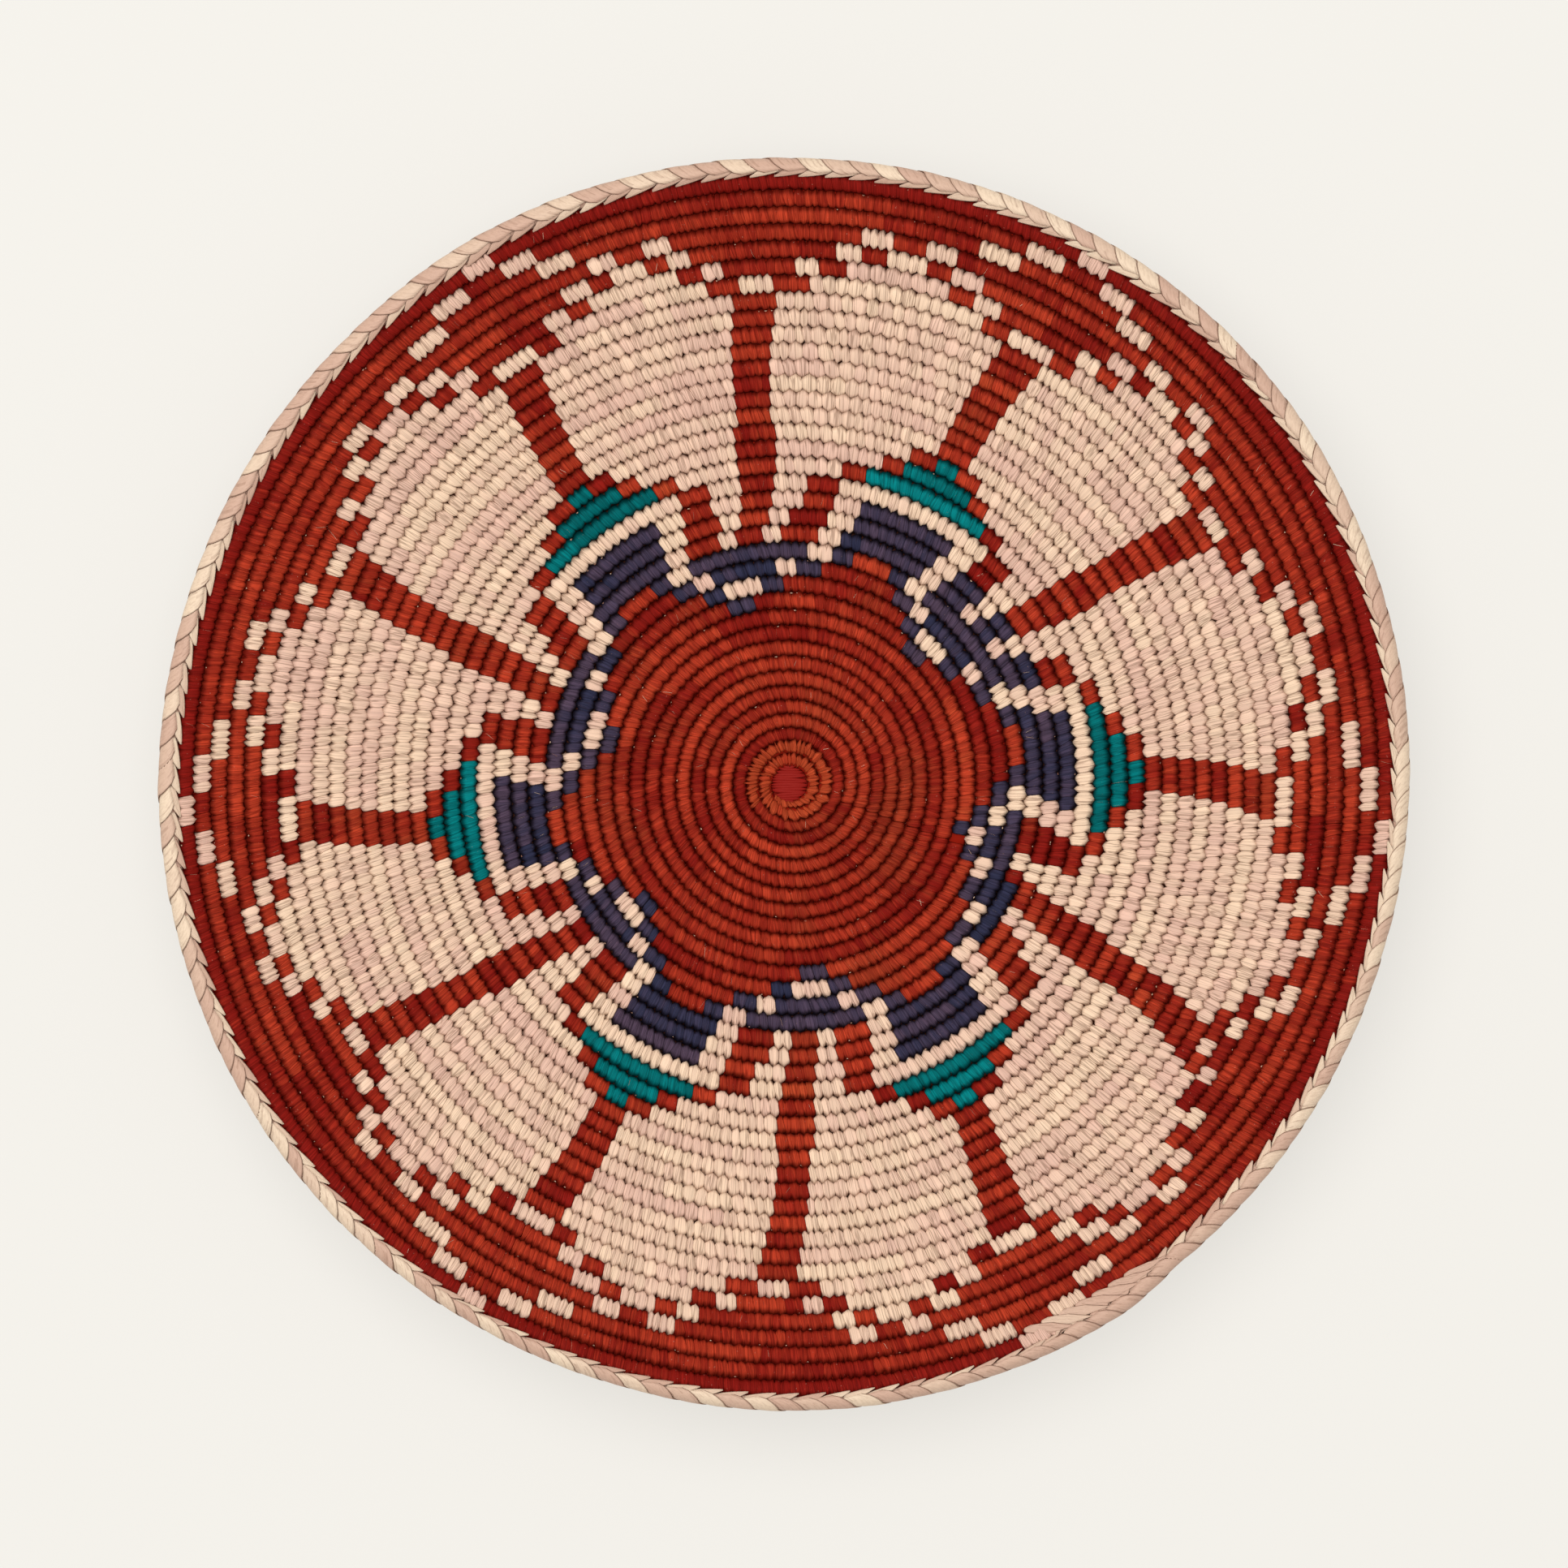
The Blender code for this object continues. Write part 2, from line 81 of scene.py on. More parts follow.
ROUNDS = 37
WIDENING_ROUNDS = 11
SPOKES = 12
MOTIFS = 6
HALF_ROUND_SHARE = 0.5
WALL_CURVE_SHARE = 1.7
SEAM_TURN_SHARE = 0.3375
SPOKE_TURN_SHARES = (0.0806, 0.1611, 0.2403, 0.3222, 0.3944, 0.4792,
                     0.5653, 0.6472, 0.7389, 0.8222, 0.9111, 0.9931)
LEAN_ROUND = 21.5
LEAN_START_ROUND = 12
INNER_LEAN_SHARE = 0.00089
INNER_LEAN_POWER_SHARE = 1.6
OUTER_LEAN_SHARE = 0.00056
SPOKE_SHARE = 0.088
SEAM = SPOKES - 1 + SPOKE_SHARE
THIN_HEIGHT_SHARE = 1.5

# The pattern. Each row lists its runs from a gable's middle line, at 0, to the next spoke's, at 1,
# as the figure and the share at which it ends. It is the same on both sides of either line.
PETAL_ROWS = {
    12: (("red_rosette", 0.86), ("navy_leg", 1)),
    13: (("red_rosette", 0.62), ("navy_leg", 0.82), ("cream_keystone", 1)),
    14: (("red_rosette", 0.34), ("navy_leg", 0.55), ("cream_ribbon", 0.72), ("navy_arch", 1)),
    15: (("red_rosette", 0.16), ("navy_block", 0.32), ("cream_ribbon", 0.515), ("navy_arch", 1)),
    16: (("navy_block", 0.333), ("cream_ribbon", 0.5), ("red_gable", 0.767), ("cream_field", 0.9),
         ("red_spoke", 1)),
    17: (("navy_block", 0.315), ("cream_ribbon", 0.5), ("red_gable", 0.76), ("cream_field", 0.9),
         ("red_spoke", 1)),
    18: (("navy_block", 0.328), ("cream_ribbon", 0.505), ("red_gable", 0.7), ("cream_field", 0.9),
         ("red_spoke", 1)),
    19: (("cream_ribbon", 0.51), ("red_gable", 0.7), ("cream_field", 0.9), ("red_spoke", 1)),
    20: (("teal_gable", 0.383), ("red_gable", 0.52), ("cream_field", 0.893), ("red_spoke", 1)),
    21: (("teal_gable", 0.203), ("red_gable", 0.32), ("cream_field", 0.893), ("red_spoke", 1)),
    22: (("teal_gable", 0.06), ("red_gable", 0.2), ("cream_field", 0.893), ("red_spoke", 1)),
}
SPOKE_ROW = (("red_gable", 0.085), ("cream_field", 0.918), ("red_spoke", 1))
BORDER_ROWS = {
    31: (("cream_zigzag", 0.09), ("red_border", 0.19), ("cream_field", 0.81), ("red_border", 0.937),
         ("cream_zigzag", 1)),
    32: (("red_border", 0.157), ("cream_zigzag", 0.255), ("red_border", 0.343), ("cream_field", 0.697),
         ("red_border", 0.79), ("cream_zigzag", 0.87), ("red_border", 1)),
    33: (("red_border", 0.25), ("cream_zigzag", 0.36), ("red_border", 0.443), ("cream_field", 0.577),
         ("red_border", 0.66), ("cream_zigzag", 0.745), ("red_border", 1)),
    34: (("red_border", 0.365), ("cream_zigzag", 0.467), ("red_border", 0.573), ("cream_zigzag", 0.675),
         ("red_border", 1)),
    35: (("red_border", 0.183), ("cream_zigzag", 0.317), ("red_border", 1)),
    36: (("red_border", 0.067), ("cream_zigzag", 0.19), ("red_border", 1)),
    37: (("cream_zigzag", 0.05), ("red_border", 1)),
}
LAST_WHOLE_ROW = 11
LAST_SPOKE_ROW = 30

# The coil starts as a thin tip round the knot, and its last stitches are in undyed leaf
COIL_START = 0.7
COIL_END_PLACE = -0.07
PETALS_END = 2.66
KNOT_RADIUS = 0.0056
KNOT_RIGHT = 0.0007
KNOT_UP = -0.0011
LAST_STITCHES_SHARE = 0.13

# Hand-wound rounds lie beside a true spiral. By their radius: how far outside it, to the right and
# up they lie, and how far they bulge to the upper right and to the top
DRIFTS = {
    0.0048: (0.0, 0.00085, -0.00107, 0.0, 0.0),
    0.0091: (-0.00032, 0.00171, -0.00091, -0.00008, 0.0),
    0.0160: (-0.00032, 0.00168, -0.00069, -0.00005, 0.0),
    0.0267: (-0.00015, 0.00145, -0.00066, 0.00003, 0.0),
    0.0400: (-0.00015, 0.00116, -0.00079, -0.00015, 0.00029),
    0.0480: (-0.00014, 0.00101, -0.00092, -0.00017, 0.00026),
    0.0560: (-0.00011, 0.00089, -0.00083, -0.00017, 0.00017),
    0.0666: (-0.00002, 0.00080, -0.00058, -0.00013, 0.00017),
    0.0773: (0.00021, 0.00073, -0.00055, -0.00004, 0.00003),
    0.0880: (0.00057, 0.00070, -0.00046, -0.00006, 0.0),
    0.0986: (0.00087, 0.00059, -0.00044, -0.00007, 0.00002),
    0.1093: (0.00134, 0.00072, -0.00043, -0.00005, 0.00006),
    0.1200: (0.00168, 0.00067, -0.00055, -0.00020, -0.00006),
    0.1306: (0.00154, 0.00081, -0.00061, -0.00026, -0.00020),
    0.1413: (0.00125, 0.00095, -0.00080, -0.00011, -0.00016),
    0.1520: (0.00114, 0.00103, -0.00073, -0.00017, -0.00006),
    0.1626: (0.00103, 0.00086, -0.00055, -0.00012, 0.00006),
    0.1733: (0.00108, 0.00082, -0.00028, -0.00001, -0.00004),
    0.1839: (0.00133, 0.00070, -0.00005, 0.00009, -0.00010),
    0.1925: (0.00135, 0.00082, 0.00003, 0.00022, -0.00017),
}

# By row: how far each gable's and spoke's line, in order, has turned further clockwise, in degrees
AXIS_LEANS = {
    13.0: (2.4, 2.9, 2.4, 2.1, 0.5, -0.4, 1.1, 1.9, 0.3, -1.4, -2.2, 0.0),
    15.0: (2.4, 2.0, 2.4, 2.3, 0.5, -1.6, 1.1, 0.3, 0.3, -0.9, -2.2, 0.3),
    17.5: (0.0, -0.3, 1.5, -0.6, -0.7, -0.2, 0.0, 1.6, 0.4, 0.3, -1.5, 0.5),
    21.0: (-0.4, -1.1, 0.5, -1.1, -1.5, -1.3, -1.5, 0.1, -0.3, -0.6, -1.1, -0.1),
    27.0: (0.9, -1.1, -0.7, -0.6, -1.2, -0.9, -0.9, -0.7, -0.6, -0.8, -0.4, 0.5),
    32.0: (1.2, 0.0, 0.1, -0.3, 0.0, 0.3, 0.1, -0.1, 0.1, -0.6, 1.5, 3.0),
    35.0: (2.0, 0.3, 0.1, 0.0, 0.3, 0.0, 0.8, 0.0, 0.1, -0.2, 2.9, 4.0),
}

# The rim's leaves are pinker on two sides: by how much of a tone, and where the first side lies
PINK_SIDE_TONE = 0.4
PINK_SIDE = radians(150)

# How far the outer edge lies outside a true circle, by the angle clockwise from the top in degrees,
# and where the wedge of leaves at the coil's end starts and ends
OUTLINE_CLOCKS = (0, 30, 45, 60, 75, 90, 105, 125, 141, 147, 160,
                  180, 195, 210, 230, 270, 285, 300, 315, 330, 345)
OUTLINE_STEPS = (-0.0013, 0.0, 0.0007, 0.0004, -0.0008, -0.0014, -0.0022, -0.0018, -0.0015, 0.0011, 0.0010,
                 0.0011, 0.0004, 0.0003, 0.0007, 0.0008, 0.0001, -0.0003, -0.0006, 0.0002, -0.0006)
WEDGE_START = radians(142.5)
WEDGE_END = radians(155.2)

# Figures that stand about a spoke's line instead of a gable's, and those that have a left and a right
SPOKE_FIGURES = ("navy_arch", "cream_keystone", "red_spoke")
SIDED_FIGURES = ("cream_field",)

# Gables, counted from 0, and their sides whose bars, and whose spoke's foot, are navy
NAVY_BARS = ((4, 1), (5, -1))
NAVY_BAR_ROWS = (16, 17)

# The leaf that each figure is sewn in
LEAF_OF_FIGURE = {
    "red_rosette": "red", "red_gable": "red", "red_spoke": "red", "red_border": "maroon",
    "navy_leg": "navy", "navy_arch": "navy", "navy_block": "navy", "navy_bar": "navy", "teal_gable": "teal",
    "cream_keystone": "cream", "cream_ribbon": "cream", "cream_field": "cream", "cream_zigzag": "cream",
}

# Tone of the leaf in single rows, from 0, deep, over 1, bright, to 1.5, fresh; other rows change from
# leaf to leaf
ROW_TONES = {1: 1.42, 2: 1.40, 3: 0.3, 4: 0.8, 5: 0.45, 6: 0.42, 7: 0.6, 8: 0.5,
             34: 0.5, 35: 0.52, 36: 0.4, 37: 0.0}

# Shares along a stitch at which its sleeve has a ring, and how much of a crease each ring has
STITCH_RING_SHARES = (0.0, 0.1, 0.3, 0.5, 0.7, 0.9)
CREASE_SHARES = (1.0, 0.22, 0.0, 0.0, 0.0, 0.22)
FIRST_FOLD_RING = 2
STEPS_AROUND = 14
MERGE_DISTANCE = 0.000002


# The user's sizes and colours

def length_setting(name, default, description, **limits):
    """A length that the user can set."""
    return FloatProperty(name=name, description=description, default=default, unit="LENGTH", **limits)


def colour_setting(name, default, description):
    """A colour that the user can set."""
    return FloatVectorProperty(name=name, description=description, default=default, subtype="COLOR", size=3)


class CoilSettings(bpy.types.PropertyGroup):
    """Sizes of the stitches that cover the coil."""

    cream_stitch: length_setting("Cream stitch", 0.0033, "Width of a stitch of undyed leaf", min=0.001)
    red_stitch: length_setting("Red stitch", 0.0030, "Width of a stitch of red leaf", min=0.001)
    border_stitch: length_setting("Border stitch", 0.0027, "Width of a stitch in the border", min=0.001)
    dark_stitch: length_setting("Dark stitch", 0.0032, "Width of a stitch of navy or teal leaf", min=0.001)
    petal_stitch: length_setting("Petal stitch", 0.0019, "Width of a stitch round the knot", min=0.001)
    slant: length_setting("Slant", 0.0005, "How far a stitch leans along the coil from side to side")


class RimSettings(bpy.types.PropertyGroup):
    """Sizes of the plait that is sewn over the rim."""

    leaves: IntProperty(name="Leaves", description="Broad leaves round the whole rim", default=152, min=24)
    slant: length_setting("Slant", 0.0092, "How far a leaf moves along the rim as it goes over it")
    band_width: length_setting("Plait width", 0.0056, "Width of the plait seen from above")
    leaf_thickness: length_setting("Leaf thickness", 0.0005, "Thickness of one folded leaf")
    sliver_width: length_setting("Sliver width", 0.0034, "Width of the narrow inner leaves")


class LeafColours(bpy.types.PropertyGroup):
    """Colours of the leaf strips."""

    cream_warm: colour_setting("Warm cream", (0.985, 0.712, 0.50), "Undyed leaf at its yellowest")
    cream_pink: colour_setting("Pink cream", (0.865, 0.55, 0.425), "Undyed leaf at its pinkest")
    red_bright: colour_setting("Bright red", (0.58, 0.056, 0.021), "Red leaf at its freshest")
    red_fresh: colour_setting("Fresh red", (0.55, 0.074, 0.024), "Orange red leaf round the knot")
    red_worn: colour_setting("Worn red", (0.27, 0.042, 0.014), "Red leaf where it has browned")
    red_deep: colour_setting("Deep red", (0.28, 0.011, 0.007), "Red leaf at its deepest")
    # The shade colours are the dark of the leaf's lines, and also the painted shade in valleys and where
    # stitches part
    red_shade: colour_setting("Red shade", (0.15, 0.005, 0.002), "Red leaf deep between stitches")
    cream_shade: colour_setting("Cream shade", (0.17, 0.075, 0.04), "Undyed leaf deep between stitches")
    navy: colour_setting("Navy", (0.098, 0.061, 0.098), "Dark blue leaf at its greyest")
    navy_blue: colour_setting("Navy blue", (0.034, 0.036, 0.077), "Dark blue leaf at its bluest")
    teal: colour_setting("Teal", (0.001, 0.24, 0.245), "Blue green leaf")
    plait: colour_setting("Plait", (0.89, 0.69, 0.50), "Undyed leaf of the rim")
    plait_pink: colour_setting("Pink plait", (0.665, 0.425, 0.312), "Rim leaf at its pinkest")
    fibre_brown: colour_setting("Brown fibre", (0.30, 0.12, 0.07), "Darkest of the stray fibres")
    # The grass is dark as painted shade in the gaps between stitches, and dark red under red leaf as
    # painted shade of the red valleys
    grass_deep: colour_setting("Deep grass", (0.03, 0.007, 0.004), "Darkest grass of the foundation")
    grass: colour_setting("Grass", (0.085, 0.03, 0.016), "Palest grass of the foundation")
    grass_red_gap_shade: colour_setting("Dyed grass", (0.27, 0.012, 0.005), "Grass that the red leaf has dyed")
    # Brown of the rim's lines and fibres, also used as the painted shade along the edges of its leaves
    plait_lines_and_edge_shade: colour_setting("Plait line", (0.27, 0.13, 0.08), "Brown lines along the leaves of the rim")


class StageSettings(bpy.types.PropertyGroup):
    """Camera, floor and light."""

    camera_height: length_setting("Camera height", 4.0, "Height of the camera over the rim")
    frame_width: length_setting("Frame width", 0.515, "Width that the picture takes in at the rim")
    camera_right: length_setting("Camera right", -0.00107, "Place of the camera beside the middle")
    camera_up: length_setting("Camera up", -0.00107, "Place of the camera above the middle")
    floor_colour: colour_setting("Floor", (0.93, 0.905, 0.85), "Colour of the floor")
    floor_share: FloatProperty(name="Floor share", description="How much of its colour the floor reflects",
                               default=0.85, subtype="FACTOR", min=0, max=1)
    floor_glow: FloatProperty(name="Floor glow", description="How much of the floor's shade is lightened",
                              default=0.74, subtype="FACTOR", min=0, max=1)
    lamp_power: FloatProperty(name="Lamp power", description="Power of the large soft lamp",
                              default=42.0, unit="POWER")
    world_strength: FloatProperty(name="World strength", description="Light from all round", default=0.55)


# The spiral

def between_spokes(place):
    """Share of a turn from the seam at which places, counted in spokes, lie."""
    known = np.arange(-2, SPOKES + 2)
    turns = [number // SPOKES + SPOKE_TURN_SHARES[number % SPOKES] for number in known]
    return np.interp(place, known, turns)


def pattern_lean(turns_out):
    """Share of a turn by which the pattern has turned clockwise at each round."""
    inside = LEAN_ROUND - np.maximum(turns_out, LEAN_START_ROUND)
    inner = -INNER_LEAN_SHARE * np.maximum(inside, 0) ** INNER_LEAN_POWER_SHARE
    lean = np.where(turns_out >= LEAN_ROUND, OUTER_LEAN_SHARE * (turns_out - LEAN_ROUND), inner)
    place = SEAM - SPOKES * (turns_out - np.floor(turns_out))
    rows = list(AXIS_LEANS)
    for number, degrees in enumerate(AXIS_LEANS.values()):
        nearness = np.interp(turns_out, rows, np.arange(len(rows)) == number)
        lean = lean + nearness * np.interp(place, np.arange(SPOKES), degrees, period=SPOKES) / 360
    return lean


def coil_radius(turns_out):
    """Distance from the middle to the coil's centre line, with the rounds widening at first."""
    beyond = turns_out - 1 - SEAM_TURN_SHARE
    widening = np.clip(beyond, 0, WIDENING_ROUNDS)
    growth = (FULL_PITCH - FIRST_PITCH) / WIDENING_ROUNDS
    full = np.maximum(beyond - WIDENING_ROUNDS, 0)
    first = np.minimum(beyond, WIDENING_ROUNDS)
    return FIRST_ROUND_RADIUS + FIRST_PITCH * first + growth * widening ** 2 / 2 + FULL_PITCH * full


COIL_EDGE_RADIUS = float(coil_radius(np.float64(ROUNDS + HALF_ROUND_SHARE + 1)))
RIM_RADIUS = COIL_EDGE_RADIUS + BRAID_LEAST_WIDTH


def wall(radius):
    """Height of the coil's centre line over the floor, and the slope of the wall there."""
    rest = COIL_THICKNESS / 2 - REST_CUT
    run = COIL_EDGE_RADIUS - BASE_RADIUS
    share = np.maximum(radius - BASE_RADIUS, 0) / run
    slope = WALL_CURVE_SHARE * WALL_RISE / run * share ** (WALL_CURVE_SHARE - 1)
    return rest + WALL_RISE * share ** WALL_CURVE_SHARE, np.arctan(slope)


def coil_section(turns_out):
    """Radius of the coil's middle and half its width, thin at first where it goes round the knot."""
    inner = np.maximum(coil_radius(turns_out - HALF_ROUND_SHARE), KNOT_RADIUS)
    outer = np.maximum(coil_radius(turns_out + HALF_ROUND_SHARE), KNOT_RADIUS + MERGE_DISTANCE)
    middle = (inner + outer) / 2
    _, slope = wall(middle)
    return middle, (outer - inner) / 2 / np.cos(slope)


def coil_height(half):
    """Half the height of the coil where it has that half width."""
    return COIL_THICKNESS / 2 * np.minimum(1, THIN_HEIGHT_SHARE * half / FIRST_PITCH)


def clock_angle(turns_out):
    """Angle, clockwise from the top of the basket, of places along the coil."""
    row = np.floor(turns_out)
    place = SEAM - SPOKES * (turns_out - row)
    return tau * (SEAM_TURN_SHARE + between_spokes(place) + pattern_lean(turns_out))


def drift(radius, angle):
    """How far outside the true spiral a round lies at a radius and an angle from the top."""
    out, right, up, upper_right, top = (
        np.interp(radius, list(DRIFTS), [drifts[part] for drifts in DRIFTS.values()]) for part in range(5))
    once = out + right * np.sin(angle) + up * np.cos(angle)
    return once + upper_right * np.sin(2 * angle) + top * np.cos(2 * angle)


def wall_points(radius, angle, across, height):
    """Points beside and over the wall's middle line, level with the floor at the lowest."""
    middle, slope = wall(radius)
    reach = radius + drift(radius, angle) + across * np.cos(slope) - height * np.sin(slope)
    level = middle + across * np.sin(slope) + height * np.cos(slope)
    return np.stack((reach * np.sin(angle), reach * np.cos(angle), np.maximum(level, 0)), axis=-1)


# The pattern

class Run:
    """A stretch of the coil in one leaf, from one place to another along the spiral."""

    def __init__(self, figure, number, row, start, end):
        self.figure = figure
        self.number = number
        self.row = row
        self.start = start
        self.end = end
        self.edges = None

    @property
    def piece(self):
        """Name of the piece that the run belongs to."""
        return self.figure if self.number is None else self.figure + "_" + self.number


def row_runs(row):
    """Runs of one row of the pattern."""
    if row <= LAST_WHOLE_ROW:
        return (("red_rosette", 1),)
    if row in PETAL_ROWS:
        return PETAL_ROWS[row]
    return SPOKE_ROW if row <= LAST_SPOKE_ROW else BORDER_ROWS[row]


def figure_number(figure, motif, side):
    """Number that a figure has on one side of a gable, or none where there is only one of it."""
    if figure == "red_rosette":
        return None
    if figure in SIDED_FIGURES:
        return str(motif + 1) + ("_right" if side > 0 else "_left")
    if (figure in SPOKE_FIGURES or figure == "red_border") and side < 0:
        return str((motif - 1) % MOTIFS + 1)
    return str(motif + 1)


def leaf_figure(row, figure, motif, side):
    """The figure, or its navy bars where this basket has them in place of red ones."""
    swapped = (motif, side) in NAVY_BARS and row in NAVY_BAR_ROWS and figure in ("red_gable", "red_spoke")
    return "navy_bar" if swapped else figure


def row_places(row):
    """All stretches of a row, as (first place, last place, figure, number), clockwise."""
    stretches = []
    for motif in range(MOTIFS):
        axis = 2 * motif
        begin = 0
        for figure, end in row_runs(row):
            for side in (1, -1):
                first, last = sorted((axis + side * begin, axis + side * end))
                shown = leaf_figure(row, figure, motif, side)
                stretches.append((first, last, shown, figure_number(shown, motif, side)))
            begin = end
    return stretches


def centre_rows():
    """The whole rounds of the middle, each with its row number, start and end."""
    rows = [(row, float(row), row + 1.0) for row in range(4, LAST_WHOLE_ROW + 1)]
    return [(1, COIL_START, 2.0), (2, 2.0, PETALS_END), (3, PETALS_END, 4.0)] + rows


def coil_runs():
    """Every run of leaf from the knot to the coil's end, joined where its figure goes on."""
    pieces = []
    for row in range(1, ROUNDS + 1):
        for first, last, figure, number in row_places(row):
            if first >= SEAM:
                first, last = first - SPOKES, last - SPOKES
            for low, high in ((first, min(last, SEAM)), (SEAM - SPOKES, last - SPOKES)):
                if row == ROUNDS:
                    low = max(low, COIL_END_PLACE)
                if high > low:
                    start = row + (SEAM - high) / SPOKES
                    end = row + (SEAM - low) / SPOKES
                    pieces.append(Run(figure, number, row, start, end))
    pieces.sort(key=lambda run: run.start)
    end = pieces[-1].end
    last_stitches = end - LAST_STITCHES_SHARE / SPOKES
    pieces = [run for run in pieces if run.start < last_stitches]
    pieces[-1].end = last_stitches
    pieces.append(Run("cream_zigzag", "1", ROUNDS, last_stitches, end))
    whole = [Run("red_rosette", None, row, start, end) for row, start, end in centre_rows()]
    pieces = whole + [run for run in pieces if run.row > LAST_WHOLE_ROW]
    joined = [pieces[0]]
    for run in pieces[1:]:
        last = joined[-1]
        same_row = run.row == last.row > LAST_WHOLE_ROW
        if run.piece == last.piece and same_row:
            last.end = run.end
        else:
            joined.append(run)
    return joined


# Rolled sleeves

def strip_mesh():
    """An empty bmesh with a strip map."""
    mesh = bmesh.new()
    mesh.loops.layers.uv.new(UV_NAME)
    return mesh


def mesh_data(name, mesh):
    """Mesh data of a bmesh, which is freed."""
    data = bpy.data.meshes.new(name)
    mesh.to_mesh(data)
    mesh.free()
    return data


def add_object(name, data):
    """A new object in the scene."""
    made = bpy.data.objects.new(name, data)
    bpy.context.scene.collection.objects.link(made)
    return made


def roll(rings, around):
    """Mesh of a grid, with the ring and the step of each of its vertices."""
    grid = strip_mesh()
    bmesh.ops.create_grid(grid, x_segments=rings, y_segments=around, size=0.5, calc_uvs=True)
    data = mesh_data("sleeve", grid)
    places = np.empty(len(data.vertices) * 3)
    data.vertices.foreach_get("co", places)
    places = places.reshape(-1, 3) + 0.5
    ring = np.rint(places[:, 0] * rings).astype(int)
    step = np.rint(places[:, 1] * around).astype(int)
    return data, ring, step


def sleeve(target, rings, around, shape, texture, tones, partings=None, closed=False):
    """Add to a bmesh one grid, rolled by a shape function, with its strip map, tone and partings."""
    data, ring, step = roll(rings, around)
    points = shape(ring, step / around)
    data.vertices.foreach_set("co", points.reshape(-1).astype(np.float32))
    corner = np.empty(len(data.loops), dtype=np.int32)
    data.loops.foreach_get("vertex_index", corner)
    along = texture[ring[corner]]
    strip = np.stack((along, step[corner] / around), axis=-1)
    data.uv_layers[UV_NAME].data.foreach_set("uv", strip.reshape(-1).astype(np.float32))
    first_ring = ring[corner].reshape(-1, 4).min(axis=1)
    tone = data.attributes.new(TONE_NAME, "FLOAT", "FACE")
    tone.data.foreach_set("value", tones[first_ring].astype(np.float32))
    parting = data.attributes.new(PARTING_NAME, "FLOAT", "POINT")
    depths = np.zeros(rings + 1) if partings is None else partings
    parting.data.foreach_set("value", depths[ring].astype(np.float32))
    before = len(target.faces)
    target.from_mesh(data)
    bpy.data.meshes.remove(data)
    target.faces.ensure_lookup_table()
    new_faces = target.faces[before:]
    # Dicts keep the order of the mesh, which sets don't, so each run merges the same way
    edges = dict.fromkeys(edge for face in new_faces for edge in face.edges if edge.is_boundary)
    verts = list(dict.fromkeys(vert for edge in edges for vert in edge.verts))
    bmesh.ops.remove_doubles(target, verts=verts, dist=MERGE_DISTANCE)
    if not closed:
        rims = [edge for vert in verts if vert.is_valid for edge in vert.link_edges if edge.is_boundary]
        bmesh.ops.holes_fill(target, edges=list(dict.fromkeys(rims)), sides=around)


def even_sleeve(target, rings, around, shape, first, length, tone):
    """Add a sleeve of one tone, whose strip map runs from a first number over a length."""
    texture = first + np.linspace(0, length, rings + 1)
    sleeve(target, rings, around, shape, texture, np.full(rings + 1, tone))


def finish_piece(name, mesh, material, nodes=()):
    """Object of a finished mesh, riding on the basket and standing for its solids."""
    bmesh.ops.recalc_face_normals(mesh, faces=mesh.faces[:])
    data = mesh_data(name, mesh)
    data.shade_smooth()
    data.materials.append(material)
    piece = add_object(name, data)
    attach(piece, BODY)
    if nodes:
        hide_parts(*nodes)
    return piece


# Stitches

LEAF_STITCHES = 9
FRESHEST_TONE = 1.5
LEAF_TONE_SPREAD = 0.2
STITCH_TONE_SPREAD = 0.08
ROW_TONE_SPREAD = 0.10
LEAST_WIDTH_SHARE = 0.58
FULL_WIDTH_SHARE = 0.96
PLACE_JITTER_SHARE = 0.07
HEIGHT_JITTER_SHARE = 0.04
LEAN_JITTER_SHARE = 0.6
TIP_JITTER_SHARE = 0.08
HEIGHT_POWER_SHARE = 0.86
SLANT_POWER_SHARE = 0.5
PETAL_JITTER_SHARE = 0.3
FOLD_CREASE_SHARE = 0.5
FOLD_PARTING_SHARE = 0.84
HEIGHT_LIMITS = (0.9, 1.06)
MIDDLE_TONE = 0.5
STITCH_SEED = 3
SEEDS_PER_TURN = 10000


class StitchForm(NamedTuple):
    """How far a stitch bulges at its tips, and is drawn in where it meets the next one."""

    outer_tip: float
    inner_tip: float
    notch: float
    cut: float
    crease: float
    power: float
    jag: float
    fold_chance: float
    lift: float = 0.0
    wild: float = 0.03


STITCH_FORMS = {
    "cream": StitchForm(1.42, 1.36, 0.79, 0.10, 0.06, 0.55, 0.012, 0.75),
    "red": StitchForm(1.27, 1.22, 0.92, 0.03, 0.03, 0.86, 0.075, 0.8),
    "maroon": StitchForm(1.27, 1.22, 0.92, 0.03, 0.03, 0.86, 0.075, 0.8),
    "navy": StitchForm(1.27, 1.22, 0.87, 0.06, 0.04, 0.8, 0.04, 0.7),
    "teal": StitchForm(1.27, 1.22, 0.87, 0.06, 0.04, 0.8, 0.035, 0.7),
    "petal": StitchForm(1.6, 1.1, 0.74, 0.1, 0.3, 0.6, 0.08, 0.9, lift=0.3, wild=0.17),
}


def stitch_kind(run):
    """Kind of stitch that a run has."""
    return "petal" if run.end <= PETALS_END else LEAF_OF_FIGURE[run.figure]


def stitch_width(run):
    """Width of the stitches of a run."""
    sizes = bpy.context.scene.basket_coil
    widths = {"cream": sizes.cream_stitch, "red": sizes.red_stitch, "maroon": sizes.border_stitch,
              "navy": sizes.dark_stitch, "teal": sizes.dark_stitch, "petal": sizes.petal_stitch}
    return widths[stitch_kind(run)]


